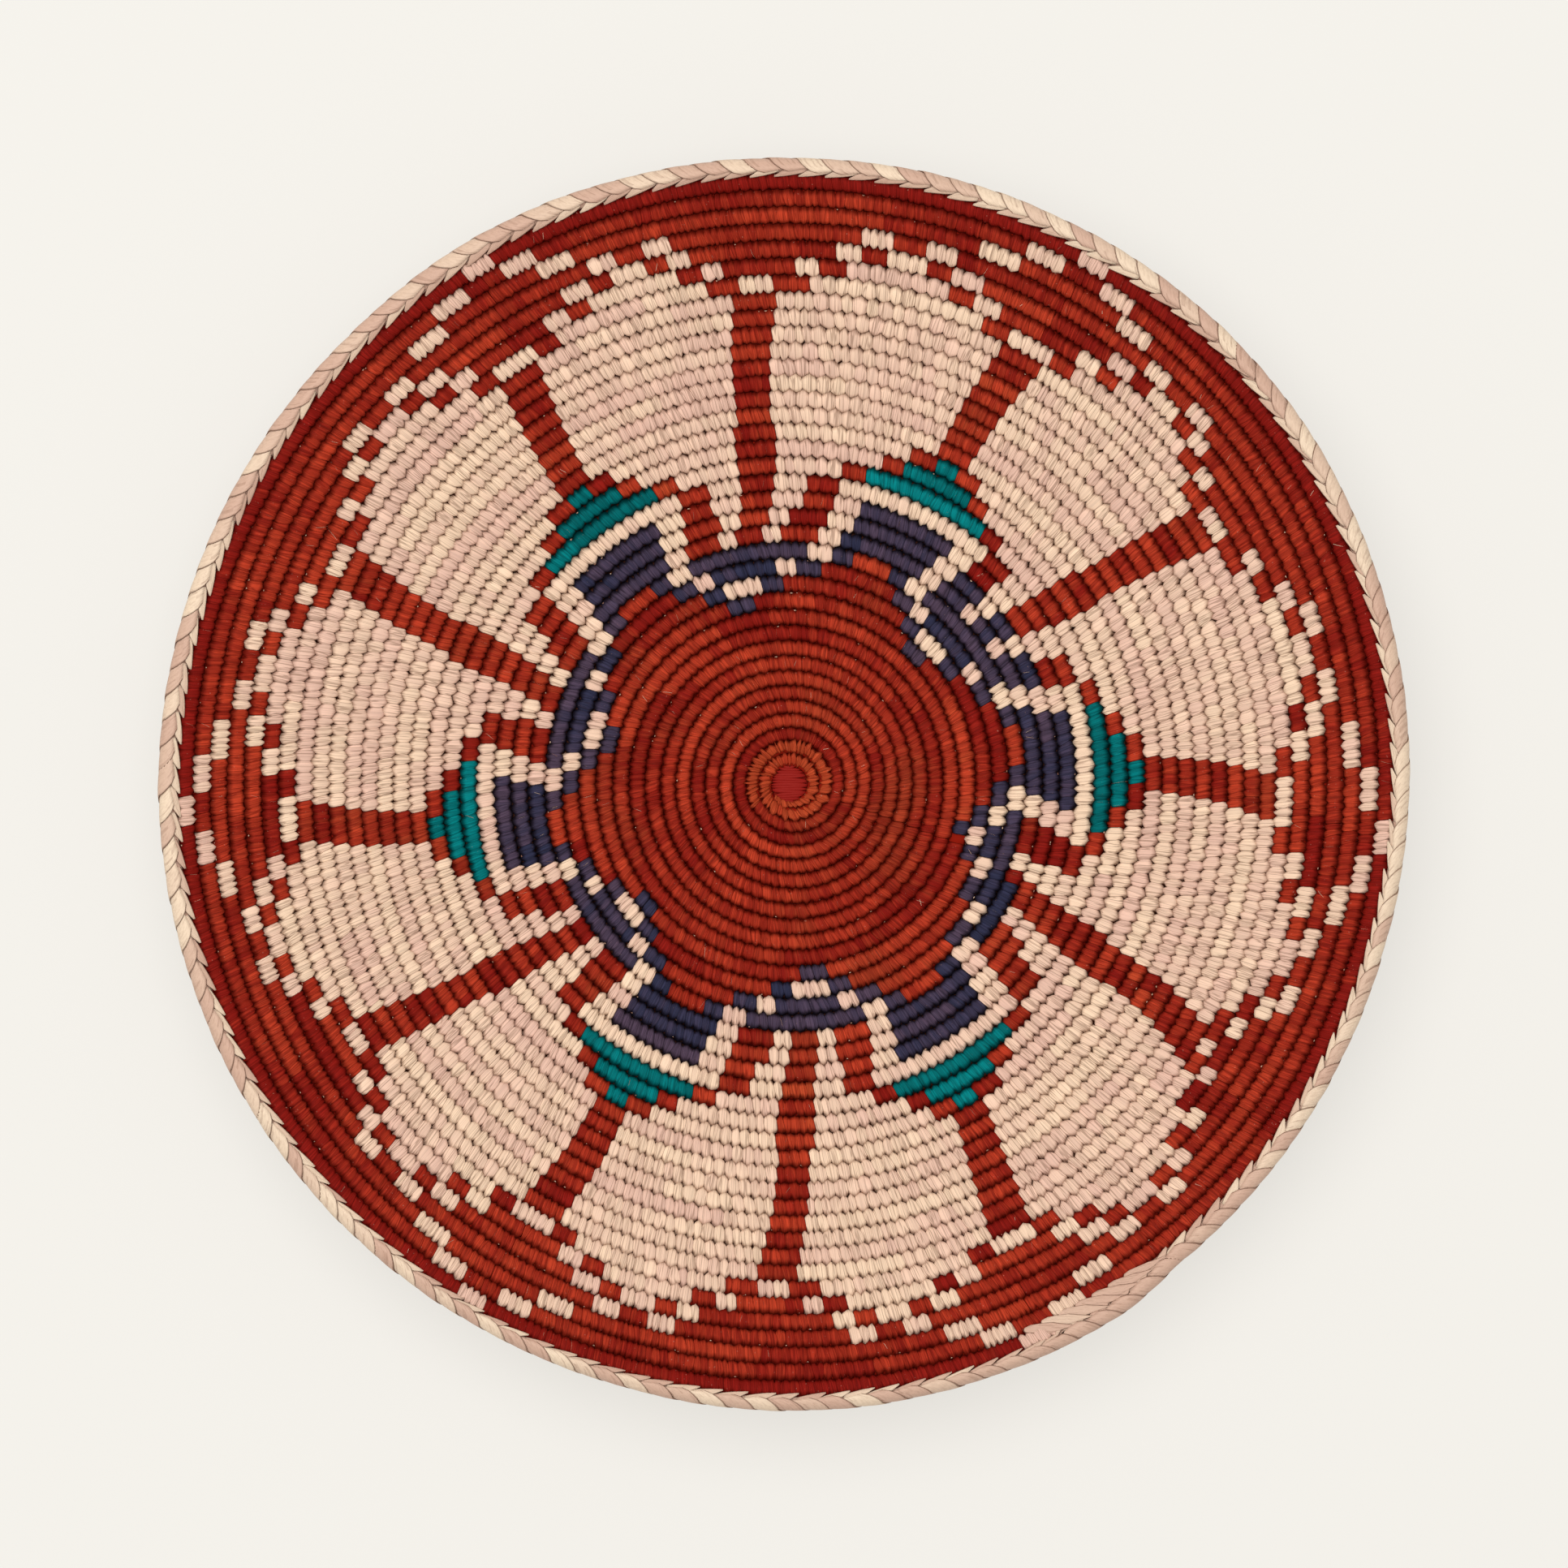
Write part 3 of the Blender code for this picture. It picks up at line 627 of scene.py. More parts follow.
def leaf_tones(row, count, chance):
    """Tone of each stitch: alike along one leaf, and new where the next leaf is taken up."""
    base = ROW_TONES.get(row)
    spread = LEAF_TONE_SPREAD if base is None else ROW_TONE_SPREAD
    leaves = chance.normal(MIDDLE_TONE if base is None else base, spread, count // 2 + 2)
    lengths = chance.integers(LEAF_STITCHES // 2, LEAF_STITCHES * 2, count // 2 + 2)
    tones = np.repeat(leaves, lengths)[:count]
    return np.clip(tones + chance.normal(0, STITCH_TONE_SPREAD, count), 0, FRESHEST_TONE)


def spread_stitches(start, end, wished, width):
    """Places from a start to an end where stitches part, at the wished places where these suit."""
    kept = [start]
    for place in wished:
        if min(place - kept[-1], end - place) > LEAST_WIDTH_SHARE * width:
            kept.append(place)
    places = [start]
    for first, last in zip(kept, kept[1:] + [end]):
        parts = max(1, round((last - first) / (FULL_WIDTH_SHARE * width)))
        places.extend(first + (last - first) * (part + 1) / parts for part in range(parts))
    return places


def lay_stitches(runs):
    """Part every run into stitches, each of which points between two stitches of the round inside."""
    chance = np.random.default_rng(STITCH_SEED)
    laid = []
    for run in runs:
        middle = float(coil_section(np.float64((run.start + run.end) / 2))[0])
        width = stitch_width(run) / (tau * middle)
        first = bisect_left(laid, run.start - 1 - width)
        last = bisect_left(laid, run.end - 1 + width)
        inside = np.array(laid[first:last])
        wished = (inside[:-1] + inside[1:]) / 2
        wished = wished + 1 + pattern_lean(wished + 1) - pattern_lean(wished)
        wished = wished + chance.normal(0, PLACE_JITTER_SHARE * width, len(wished))
        run.edges = np.array(spread_stitches(run.start, run.end, list(wished), width))
        if stitch_kind(run) == "petal":
            moves = chance.uniform(-PETAL_JITTER_SHARE, PETAL_JITTER_SHARE, len(run.edges) - 2)
            run.edges[1:-1] += moves * width
        laid.extend(run.edges[:-1])


def peak(share, tip):
    """One at both edges of a stitch, falling straight to zero at its tip."""
    return np.where(share < tip, 1 - share / tip, (share - tip) / (1 - tip))


def sew(target, run, counted):
    """Add one run's sleeve of stitches, and give the number of stitches laid so far."""
    slant = bpy.context.scene.basket_coil.slant
    form = STITCH_FORMS[stitch_kind(run)]
    chance = np.random.default_rng(int(run.start * SEEDS_PER_TURN))
    count = len(run.edges) - 1
    each = len(STITCH_RING_SHARES)
    rings = each * count
    number = np.minimum(np.arange(rings + 1) // each, count - 1)
    phase = np.arange(rings + 1) - number * each
    shares = np.array(STITCH_RING_SHARES + (1.0,))[phase]
    turns = run.edges[number] + shares * (run.edges[number + 1] - run.edges[number])
    at_edge = phase % each == 0

    folded = chance.random(count) < form.fold_chance
    fold_ring = np.where(folded, FIRST_FOLD_RING + chance.integers(0, each // 2, count), -1)[number]
    is_fold = phase == fold_ring
    crease = np.array(CREASE_SHARES + (1.0,))[phase] + is_fold * FOLD_CREASE_SHARE
    parting = at_edge * 1.0 + is_fold * FOLD_PARTING_SHARE
    heights = np.clip(chance.normal(1, HEIGHT_JITTER_SHARE, count), *HEIGHT_LIMITS)
    taller = np.where(at_edge, 1, heights[number])

    def reach(tip):
        places = 0.5 + chance.normal(0, TIP_JITTER_SHARE, count)
        tips = tip * chance.normal(1, form.wild, count)
        drawn = tips[number] + (form.notch - tips[number]) * peak(shares, places[number])
        return drawn + chance.normal(0, form.jag, rings + 1) - at_edge * form.cut

    outer, inner = reach(form.outer_tip), reach(form.inner_tip)
    leans = 1 + chance.normal(0, LEAN_JITTER_SHARE, count + 1)
    leans[0] = leans[count] = 1
    lean_at = leans[number] + shares * (leans[number + 1] - leans[number])
    lean_at = lean_at + is_fold * chance.normal(0, LEAN_JITTER_SHARE, rings + 1)

    def shape(ring, around):
        angle = tau * around
        side = np.cos(angle)
        crest = np.sin(angle)
        out = turns[ring]
        radius, half = coil_section(out)
        level = (1 - form.crease * crease[ring]) * taller[ring]
        wide = np.where(side > 0, outer[ring], inner[ring])
        across = np.sign(side) * np.abs(side) ** form.power * half * wide
        height = np.sign(crest) * np.abs(crest) ** HEIGHT_POWER_SHARE * level
        height = (height + form.lift * side * (crest > 0)) * coil_height(half)
        lean = slant * lean_at[ring] * side * np.sign(crest) * np.abs(crest) ** SLANT_POWER_SHARE
        return wall_points(radius, clock_angle(out) - lean / radius, across, height)

    tones = leaf_tones(run.row, count, chance)[number]
    sleeve(target, rings, STEPS_AROUND, shape, counted + number + shares, tones, parting)
    return counted + count


RUNS = coil_runs()


def sew_piece(name, material):
    """Piece of all the runs of that name, which stands for the solid of the same name, if any."""
    if RUNS[0].edges is None:
        lay_stitches(RUNS)
    mesh = strip_mesh()
    counted = 0
    for run in RUNS:
        if run.piece == name:
            counted = sew(mesh, run, counted)
    if counted == 0:
        raise RuntimeError("No run of leaf is called " + name)
    nodes = [name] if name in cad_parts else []
    return finish_piece(name + "_stitches", mesh, material, nodes)


# Shader maths

class Value:
    """A socket's value, with the arithmetic of Math nodes."""

    def __init__(self, tree, socket):
        self.tree = tree
        self.socket = socket

    def maths(self, operation, *values):
        """A Math node on this value and others."""
        made = self.tree.nodes.new("ShaderNodeMath")
        made.operation = operation
        for place, value in enumerate(values):
            connect(self.tree, value, made.inputs[place])
        return Value(self.tree, made.outputs[0])

    def __add__(self, other):
        return self.maths("ADD", self, other)

    def __radd__(self, other):
        return self.maths("ADD", other, self)

    def __sub__(self, other):
        return self.maths("SUBTRACT", self, other)

    def __rsub__(self, other):
        return self.maths("SUBTRACT", other, self)

    def __mul__(self, other):
        return self.maths("MULTIPLY", self, other)

    def __rmul__(self, other):
        return self.maths("MULTIPLY", other, self)

    def __abs__(self):
        return self.maths("ABSOLUTE", self)

    def whole(self):
        """The whole number at or under the value."""
        return self.maths("FLOOR", self)

    def cosine(self):
        """Cosine of the value in radians."""
        return self.maths("COSINE", self)


def connect(tree, value, socket):
    """Set a socket to a number, or link it to a value."""
    if isinstance(value, Value):
        tree.links.new(value.socket, socket)
    else:
        socket.default_value = value


class Finish:
    """A material with a Principled shader, and the nodes that feed it."""

    def __init__(self, name):
        self.material = bpy.data.materials.new(name)
        self.material.use_nodes = True
        self.tree = self.material.node_tree
        self.shader = self.tree.nodes["Principled BSDF"]

    def node(self, kind, settings=None, values=None, output=0):
        """A node of any kind: its settings first, then its sockets, by name or place."""
        made = self.tree.nodes.new(kind)
        for setting, value in (settings or {}).items():
            setattr(made, setting, value)
        for place, value in (values or {}).items():
            connect(self.tree, value, made.inputs[place])
        return Value(self.tree, made.outputs[output])

    def ramp(self, share, start, end):
        """A value's smooth rise from 0 at a start to 1 at an end."""
        return self.node("ShaderNodeMapRange", {"interpolation_type": "SMOOTHSTEP"},
                         {"Value": share, "From Min": start, "From Max": end})

    def mix(self, share, first, second, blend="MIX"):
        """A mix of two colours, whose sockets a Mix node has in these places."""
        colours = [(*colour, 1) if isinstance(colour, tuple) else colour for colour in (first, second)]
        return self.node("ShaderNodeMix", {"data_type": "RGBA", "blend_type": blend},
                         {0: share, 6: colours[0], 7: colours[1]}, output=2)

    def attribute(self, name):
        """A number that the mesh holds."""
        return self.node("ShaderNodeAttribute", {"attribute_name": name}, output="Fac")

    def parts(self, vector):
        """The three values of a vector."""
        made = self.tree.nodes.new("ShaderNodeSeparateXYZ")
        connect(self.tree, vector, made.inputs[0])
        return [Value(self.tree, output) for output in made.outputs]

    def strip(self):
        """Place along and round the leaf, from the strip map."""
        along, around, _ = self.parts(self.node("ShaderNodeUVMap", {"uv_map": UV_NAME}))
        return along, around

    def place(self):
        """Place on the basket."""
        return self.node("ShaderNodeTexCoord", output="Object")

    def vector(self, across, along, up=0.0):
        """A vector of three values."""
        return self.node("ShaderNodeCombineXYZ", None, {0: across, 1: along, 2: up})

    def scaled(self, values, scales):
        """A vector of values, each by a scale of its own."""
        return self.vector(*(value * scale for value, scale in zip(values, scales)))

    def noise(self, place, scale=1.0, detail=2.0, roughness=0.5):
        """Noise at a place, about 0.5."""
        return self.node("ShaderNodeTexNoise", None,
                         {"Vector": place, "Scale": scale, "Detail": detail, "Roughness": roughness})

    def dress(self, colour, roughness, specular=0.5):
        """Give the shader its colour, roughness and gloss."""
        looks = {"Base Color": colour, "Roughness": roughness, "Specular IOR Level": specular}
        for name, value in looks.items():
            connect(self.tree, value, self.shader.inputs[name])

    def emboss(self, height, strength, distance):
        """Raise the surface by a height."""
        values = {"Strength": strength, "Distance": distance, "Height": height}
        connect(self.tree, self.node("ShaderNodeBump", None, values), self.shader.inputs["Normal"])


def leaf_colour(name, share=1.0):
    """One of the user's colours as a plain tuple, darkened to a share."""
    return tuple(part * share for part in getattr(bpy.context.scene.basket_colours, name))


# How fine a pattern is along the leaf and round it, and how much it changes from stitch to stitch
FIBRE_SCALES = (13, 2.0, 7)
STRAND_SCALES = (3.4, 1.2, 5)
MOTTLE_SCALES = (1.5, 4.0, 3)
PLAIT_FIBRE_SCALES = (2.5, 34)

# How much the plait's lines change from leaf to leaf, and how fine they are round a leaf and along it
PLAIT_LINE_SCALES = (3.7, 22, 0.12)

# How fine a pattern is in a metre of the basket
KNOT_FIBRE_SCALES = (160, 2600)
PATCH_SCALE = 40.0
SPECK_SCALE = 1300.0
REGION_SCALE = 7.0
BLADE_SCALE = 900.0

# Where a pattern's effect starts and where it is full
TONE_LIMITS = (0.05, 0.95)
WORN_LIMITS = (0.5, 0.75)
FRESH_LIMITS = (1.0, 1.3)
FIBRE_LIMITS = (0.32, 0.58)
STRAND_LIMITS = (0.3, 0.62)
LINE_LIMITS = (0.008, 0.045)
PARTING_LIMITS = (0.66, 1.0)
VALLEY_SHADE_LIMITS = (0.3, 0.95)
SPECK_LIMITS = (0.74, 0.80)
PLAIT_TONE_LIMITS = (0.3, 0.7)
PLAIT_EDGE_SHADE_LIMITS = (0.93, 1.0)
PLAIT_FIBRE_LIMITS = (0.3, 0.6)
PLAIT_LINE_LIMITS = (0.64, 0.70)
KNOT_LIMITS = (0.4, 1.5)

# How much a pattern counts in a leaf's tone, in its worn and fresh patches and in the painted shade of its
# valleys
TONE_PATCH = 0.4
TONE_MOTTLE = 0.3
WORN_STRAND = 0.4
FRESH_WANDER = 0.5
VALLEY_SHADE_STRAND = 0.35
KNOT_TONE = 0.4
PLAIT_TONE = 0.55
PLAIT_REGION = 0.45

# How strong an effect is where it is full
WORN_SHARE = 0.5
STRAND_SHARE = 0.5
# The dark line where stitches part: partly the leaf's own edge, partly painted shade in the crease,
# stronger on the flanks
PARTING_SHADE_LEAST = 0.55
PARTING_SHADE_FLANK = 0.45
PARTING_LINE_AND_SHADE_SHARE = 0.8
VALLEY_SHADE_SHARE = 0.4
LEAST_LIGHT = 0.94
LIGHT_SPREAD = 0.1
PLAIT_FIBRE_SHARE = 0.2
# Painted shade along the edges of the rim's leaves
PLAIT_EDGE_SHADE_SHARE = 0.65
PLAIT_LINE_SHARE = 0.25
ROUGHNESS_SPREAD = 0.2

# Strength of a relief, and its height in metres
LEAF_RELIEF = (0.7, 0.0005)
PLAIT_RELIEF = (0.6, 0.0004)
KNOT_RELIEF = (0.6, 0.0003)

SPECK_COLOUR = (0.62, 0.36, 0.25)
# Share of a leaf's colour that gives its dark for lines and for painted shade
SHADE_SHARE = 0.15
TEAL_DEEP_SHARE = 0.6


class LeafLook(NamedTuple):
    """Colours of a leaf in stitches, and how strongly it is streaked, specked, given painted shade and
    lined.
    """

    deep: tuple
    bright: tuple
    # Dark for the leaf's lines, and for its painted shade in valleys and where stitches part
    shade: tuple
    streaks: float
    specks: float
    valley_shade_share: float
    roughness: float
    lines: float
    fresh: tuple = None
    worn: tuple = None


def leaf_finish(name, look):
    """Leaf in stitches: fibres along each stitch, a dark line partly of painted shade where stitches part,
    painted shade in the valleys between rows, new tones with new leaf.
    """
    finish = Finish(name)
    along, around = finish.strip()
    tone = finish.attribute(TONE_NAME)
    parting = finish.attribute(PARTING_NAME)
    place = finish.place()
    flank = abs((around * tau).cosine())
    chance = finish.node("ShaderNodeTexWhiteNoise", {"noise_dimensions": "1D"}, {"W": along.whole() + 0.5})
    stitch = (along, around, chance)
    fibre = finish.noise(finish.scaled(stitch, FIBRE_SCALES), detail=3.0, roughness=0.6)
    strand = finish.noise(finish.scaled(stitch, STRAND_SCALES))
    patch = finish.noise(place, PATCH_SCALE)
    mottle = finish.noise(finish.scaled(stitch, MOTTLE_SCALES))
    wander = (patch - 0.5) * TONE_PATCH + (mottle - 0.5) * TONE_MOTTLE + (strand - 0.5) * look.streaks
    leaf = finish.mix(finish.ramp(tone + wander, *TONE_LIMITS), look.deep, look.bright)
    if look.fresh:
        worn = finish.ramp(patch + (strand - 0.5) * WORN_STRAND, *WORN_LIMITS)
        leaf = finish.mix(worn * WORN_SHARE, leaf, look.worn)
        leaf = finish.mix(finish.ramp(tone + wander * FRESH_WANDER, *FRESH_LIMITS), leaf, look.fresh)
    streak = 1 - look.streaks * (1 - finish.ramp(fibre, *FIBRE_LIMITS))
    streak = streak * (1 - look.streaks * STRAND_SHARE * (1 - finish.ramp(strand, *STRAND_LIMITS)))
    line = (1 - finish.ramp(abs(strand - 0.5), *LINE_LIMITS)) * look.lines
    # Dark line where stitches part and at folds: partly the leaf's own edge, partly painted shade in the
    # crease, stronger towards the valleys
    parting_line_and_shade = finish.ramp(parting, *PARTING_LIMITS) * (PARTING_SHADE_LEAST + flank * PARTING_SHADE_FLANK)
    # Painted shade: the colour darkens towards the valleys between rows, where the coil's sides turn down
    valley_shade = finish.ramp(flank + (strand - 0.5) * VALLEY_SHADE_STRAND, *VALLEY_SHADE_LIMITS) * look.valley_shade_share
    # Brightness from the fibre streaks, the painted valley shade and a random tone for each stitch
    light = streak * (1 - valley_shade) * (LEAST_LIGHT + chance * LIGHT_SPREAD)
    tinted = finish.mix(1.0, leaf, finish.vector(light, light, light), "MULTIPLY")
    tinted = finish.mix(valley_shade * VALLEY_SHADE_SHARE, tinted, look.shade)
    if look.specks:
        dots = finish.noise(place, SPECK_SCALE, 1.0)
        tinted = finish.mix(finish.ramp(dots, *SPECK_LIMITS) * look.specks, tinted, SPECK_COLOUR)
    colour = finish.mix(line, tinted, look.shade)
    colour = finish.mix(parting_line_and_shade * PARTING_LINE_AND_SHADE_SHARE, colour, look.shade)
    finish.dress(colour, look.roughness + (fibre - 0.5) * ROUGHNESS_SPREAD, specular=0.03)
    finish.emboss(fibre * 0.5 + strand * 0.5 - parting_line_and_shade * 0.5, *LEAF_RELIEF)
    return finish.material


def plait_finish(name):
    """Undyed leaf of the rim: long fibres and brown lines, painted shade along each leaf's edges, and a new
    tone on each leaf.
    """
    finish = Finish(name)
    along, around = finish.strip()
    tone = finish.attribute(TONE_NAME)
    place = finish.place()
    fibre = finish.noise(finish.scaled((along, around), PLAIT_FIBRE_SCALES), detail=3.0, roughness=0.6)
    region = finish.noise(place, REGION_SCALE, 1.0)
    leaf = finish.mix(finish.ramp(tone * PLAIT_TONE + region * PLAIT_REGION, *PLAIT_TONE_LIMITS),
                      leaf_colour("plait_pink"), leaf_colour("plait"))
    lines = finish.scaled((along.whole(), around, along), PLAIT_LINE_SCALES)
    line = finish.noise(lines, detail=0.0)
    # Painted shade along each leaf's edges, where it meets the next leaf
    edge = finish.ramp(abs((around * tau).cosine()), *PLAIT_EDGE_SHADE_LIMITS)
    depth = (1 - finish.ramp(fibre, *PLAIT_FIBRE_LIMITS)) * PLAIT_FIBRE_SHARE + edge * PLAIT_EDGE_SHADE_SHARE
    depth = depth + finish.ramp(line, *PLAIT_LINE_LIMITS) * PLAIT_LINE_SHARE
    tinted = finish.mix(depth, leaf, leaf_colour("plait_lines_and_edge_shade"))
    finish.dress(tinted, 0.5 + (fibre - 0.5) * ROUGHNESS_SPREAD, specular=0.25)
    finish.emboss(fibre, *PLAIT_RELIEF)
    return finish.material


def knot_finish(name):
    """Red leaf of the knot: fine fibres along its folds."""
    finish = Finish(name)
    across, along, _ = finish.parts(finish.place())
    tone = finish.attribute(TONE_NAME)
    fibre = finish.noise(finish.scaled((across, along), KNOT_FIBRE_SCALES), roughness=0.6)
    leaf = finish.mix(finish.ramp(fibre + (tone - 0.5) * KNOT_TONE, *KNOT_LIMITS),
                      leaf_colour("red_deep"), leaf_colour("red_bright"))
    finish.dress(leaf, 0.6, specular=0.1)
    finish.emboss(fibre, *KNOT_RELIEF)
    return finish.material


def grass_finish(name):
    """Grass of the foundation, seen only between stitches: dark as painted shade in those gaps, and dark
    red under red leaf as painted shade of its valleys.
    """
    finish = Finish(name)
    blades = finish.noise(finish.place(), BLADE_SCALE)
    colour = finish.mix(blades, leaf_colour("grass_deep"), leaf_colour("grass"))
    # Painted shade: dark red where the grass lies under red leaf
    colour = finish.mix(finish.attribute(TONE_NAME), colour, leaf_colour("grass_red_gap_shade"))
    finish.dress(colour, 0.9, specular=0.0)
    return finish.material


def fibre_finish(name):
    """Pale stray fibres, each in its own tone."""
    finish = Finish(name)
    tone = finish.attribute(TONE_NAME)
    finish.dress(finish.mix(tone, leaf_colour("fibre_brown"), leaf_colour("cream_warm")), 0.6)
    return finish.material


MATERIALS = {}


def leaf_material(leaf):
    """The material of a leaf, made once."""
    if leaf not in MATERIALS:
        red = (leaf_colour("red_deep"), leaf_colour("red_bright"), leaf_colour("red_shade"))
        cream = (leaf_colour("cream_pink"), leaf_colour("cream_warm"), leaf_colour("cream_shade"))
        navy = (leaf_colour("navy_blue"), leaf_colour("navy"), leaf_colour("navy", SHADE_SHARE))
        teal = (leaf_colour("teal", TEAL_DEEP_SHARE), leaf_colour("teal"), leaf_colour("teal", SHADE_SHARE))
        fresh_and_worn = (leaf_colour("red_fresh"), leaf_colour("red_worn"))
        # After its colours, a look has its streaks, specks, painted valley shade, roughness and lines
        makers = {
            "cream": (leaf_finish, "cream_leaf", LeafLook(*cream, 0.16, 0.0, 0.3, 0.6, 0.5)),
            "red": (leaf_finish, "red_leaf", LeafLook(*red, 0.45, 0.3, 0.66, 0.6, 0.5, *fresh_and_worn)),
            "maroon": (leaf_finish, "border_leaf", LeafLook(*red, 0.45, 0.35, 0.66, 0.6, 0.5)),
            "navy": (leaf_finish, "navy_leaf", LeafLook(*navy, 0.45, 0.15, 0.8, 0.55, 0.45)),
            "teal": (leaf_finish, "teal_leaf", LeafLook(*teal, 0.4, 0.1, 0.72, 0.55, 0.4)),
            "knot": (knot_finish, "knot_leaf"),
            "plait": (plait_finish, "plait_leaf"),
            "grass": (grass_finish, "foundation_grass"),
            "fibre": (fibre_finish, "stray_fibre"),
        }
        maker, *settings = makers[leaf]
        MATERIALS[leaf] = maker(*settings)
    return MATERIALS[leaf]


# Operators

class BASKET_OT_foundation(bpy.types.Operator):
    """Wind the grass coil that the stitches go over"""

    bl_idname = "basket.foundation"
    bl_label = "Foundation"

    around = 8
    width_share = 1.06
    height_share = 0.62
    # Leaves under which the grass is painted dark red, as the shade of their valleys
    red_gap_shade_leaves = ("red", "maroon")

    def execute(self, context):
        mesh = strip_mesh()
        lay_stitches(RUNS)
        turns = np.concatenate([run.edges[:-1] for run in RUNS] + [RUNS[-1].edges[-1:]])
        rings = len(turns) - 1
        # Where the grass is painted dark red as the shade of red valleys
        dyed = [float(LEAF_OF_FIGURE[run.figure] in self.red_gap_shade_leaves)
                for run in RUNS for _ in run.edges[:-1]]

        def shape(ring, around):
            out = turns[ring]
            radius, half = coil_section(out)
            across = np.cos(tau * around) * half * self.width_share
            height = np.sin(tau * around) * coil_height(half) * self.height_share
            return wall_points(radius, clock_angle(out), across, height)

        sleeve(mesh, rings, self.around, shape, turns, np.array(dyed + dyed[-1:]))
        finish_piece("grass_foundation", mesh, leaf_material("grass"))
        return {"FINISHED"}


class BASKET_OT_knot(bpy.types.Operator):
    """Wrap the start knot in the middle"""

    bl_idname = "basket.knot"
    bl_label = "Start knot"

    seed = 5
    folds = 15
    rings = 24
    around = 10
    reach_share = 1.1
    thickness_shares = (1.2, 1.5)
    bend_spread = 0.0002
    end_power = 5
    end_share = 0.05
    flatness = 0.7
    top_cut = 0.0010
    crown_fall = 0.0012
    tone_and_spread = (0.3, 0.25)
    base_segments = 48
    base_radius = 0.0078
    base_height = 0.0022

    def execute(self, context):
        mesh = strip_mesh()
        reach = KNOT_RADIUS * self.reach_share
        chance = np.random.default_rng(self.seed)
        for fold in range(self.folds):
            middle = (fold + 0.5) / self.folds * 2 - 1
            half = reach * (1 - middle ** 2) ** 0.5
            bow, fan = chance.normal(0, self.bend_spread, 2)
            across = middle * reach
            thick = reach / self.folds * chance.uniform(*self.thickness_shares)

            def shape(ring, around):
                share = ring / self.rings * 2 - 1
                x = share * half
                swell = np.maximum(1 - np.abs(share) ** self.end_power, self.end_share)
                angle = tau * around
                y = across + bow * share ** 2 + fan * share + thick * np.cos(angle) * swell
                top = KNOT_THICKNESS - self.top_cut - self.crown_fall * ((x ** 2 + y ** 2) / reach ** 2)
                z = np.where(np.sin(angle) > 0, top + np.sin(angle) * thick * self.flatness * swell,
                             np.maximum(top * (1 + np.sin(angle)), 0))
                return np.stack((x + KNOT_RIGHT, y + KNOT_UP, z), axis=-1)

            tone = np.clip(chance.normal(*self.tone_and_spread), 0, 1)
            even_sleeve(mesh, self.rings, self.around, shape, fold, 1, tone)
        form = Matrix.Diagonal((self.base_radius, self.base_radius, self.base_height / 2, 1))
        lift = Matrix.Translation((KNOT_RIGHT, KNOT_UP, self.base_height / 2))
        bmesh.ops.create_cone(mesh, cap_ends=True, segments=self.base_segments, radius1=1, radius2=1,
                              depth=2, matrix=lift @ form)
        finish_piece("start_knot_fibres", mesh, leaf_material("knot"), ["start_knot"])
        return {"FINISHED"}


class SewnFigure:
    """What the operators of the sewn figures share."""

    bl_options = {"REGISTER"}
    figures = ()
    slot_name = "red_leaf"

    def execute(self, context):
        names = {run.piece: run.figure for run in RUNS if run.figure in self.figures}
        for name, figure in sorted(names.items()):
            material = leaf_material(LEAF_OF_FIGURE[figure])
            sew_piece(name, material)
        return {"FINISHED"}


class BASKET_OT_red(SewnFigure, bpy.types.Operator):
    """Sew the rosette, the gables and the spokes in red leaf"""

    bl_idname = "basket.red"
    bl_label = "Rosette, gables and spokes"
    figures = ("red_rosette", "red_gable", "red_spoke")


class BASKET_OT_navy(SewnFigure, bpy.types.Operator):
    """Sew the navy legs, arches and blocks"""

    bl_idname = "basket.navy"
    bl_label = "Navy arches and blocks"
    figures = ("navy_leg", "navy_arch", "navy_block", "navy_bar")
    slot_name = "navy_leaf"


class BASKET_OT_teal(SewnFigure, bpy.types.Operator):
    """Sew the teal filling of the gables"""

    bl_idname = "basket.teal"
    bl_label = "Teal gables"
    figures = ("teal_gable",)
    slot_name = "teal_leaf"


class BASKET_OT_cream(SewnFigure, bpy.types.Operator):
    """Sew the undyed fields, ribbons, keystones and zigzags"""

    bl_idname = "basket.cream"
    bl_label = "Cream fields, ribbons and zigzags"
    figures = ("cream_field", "cream_ribbon", "cream_keystone", "cream_zigzag")
    slot_name = "cream_leaf"


class BASKET_OT_border(SewnFigure, bpy.types.Operator):
    """Sew the border in red and maroon leaf"""

    bl_idname = "basket.border"
    bl_label = "Border"
    figures = ("red_border",)
    slot_name = "maroon_leaf"


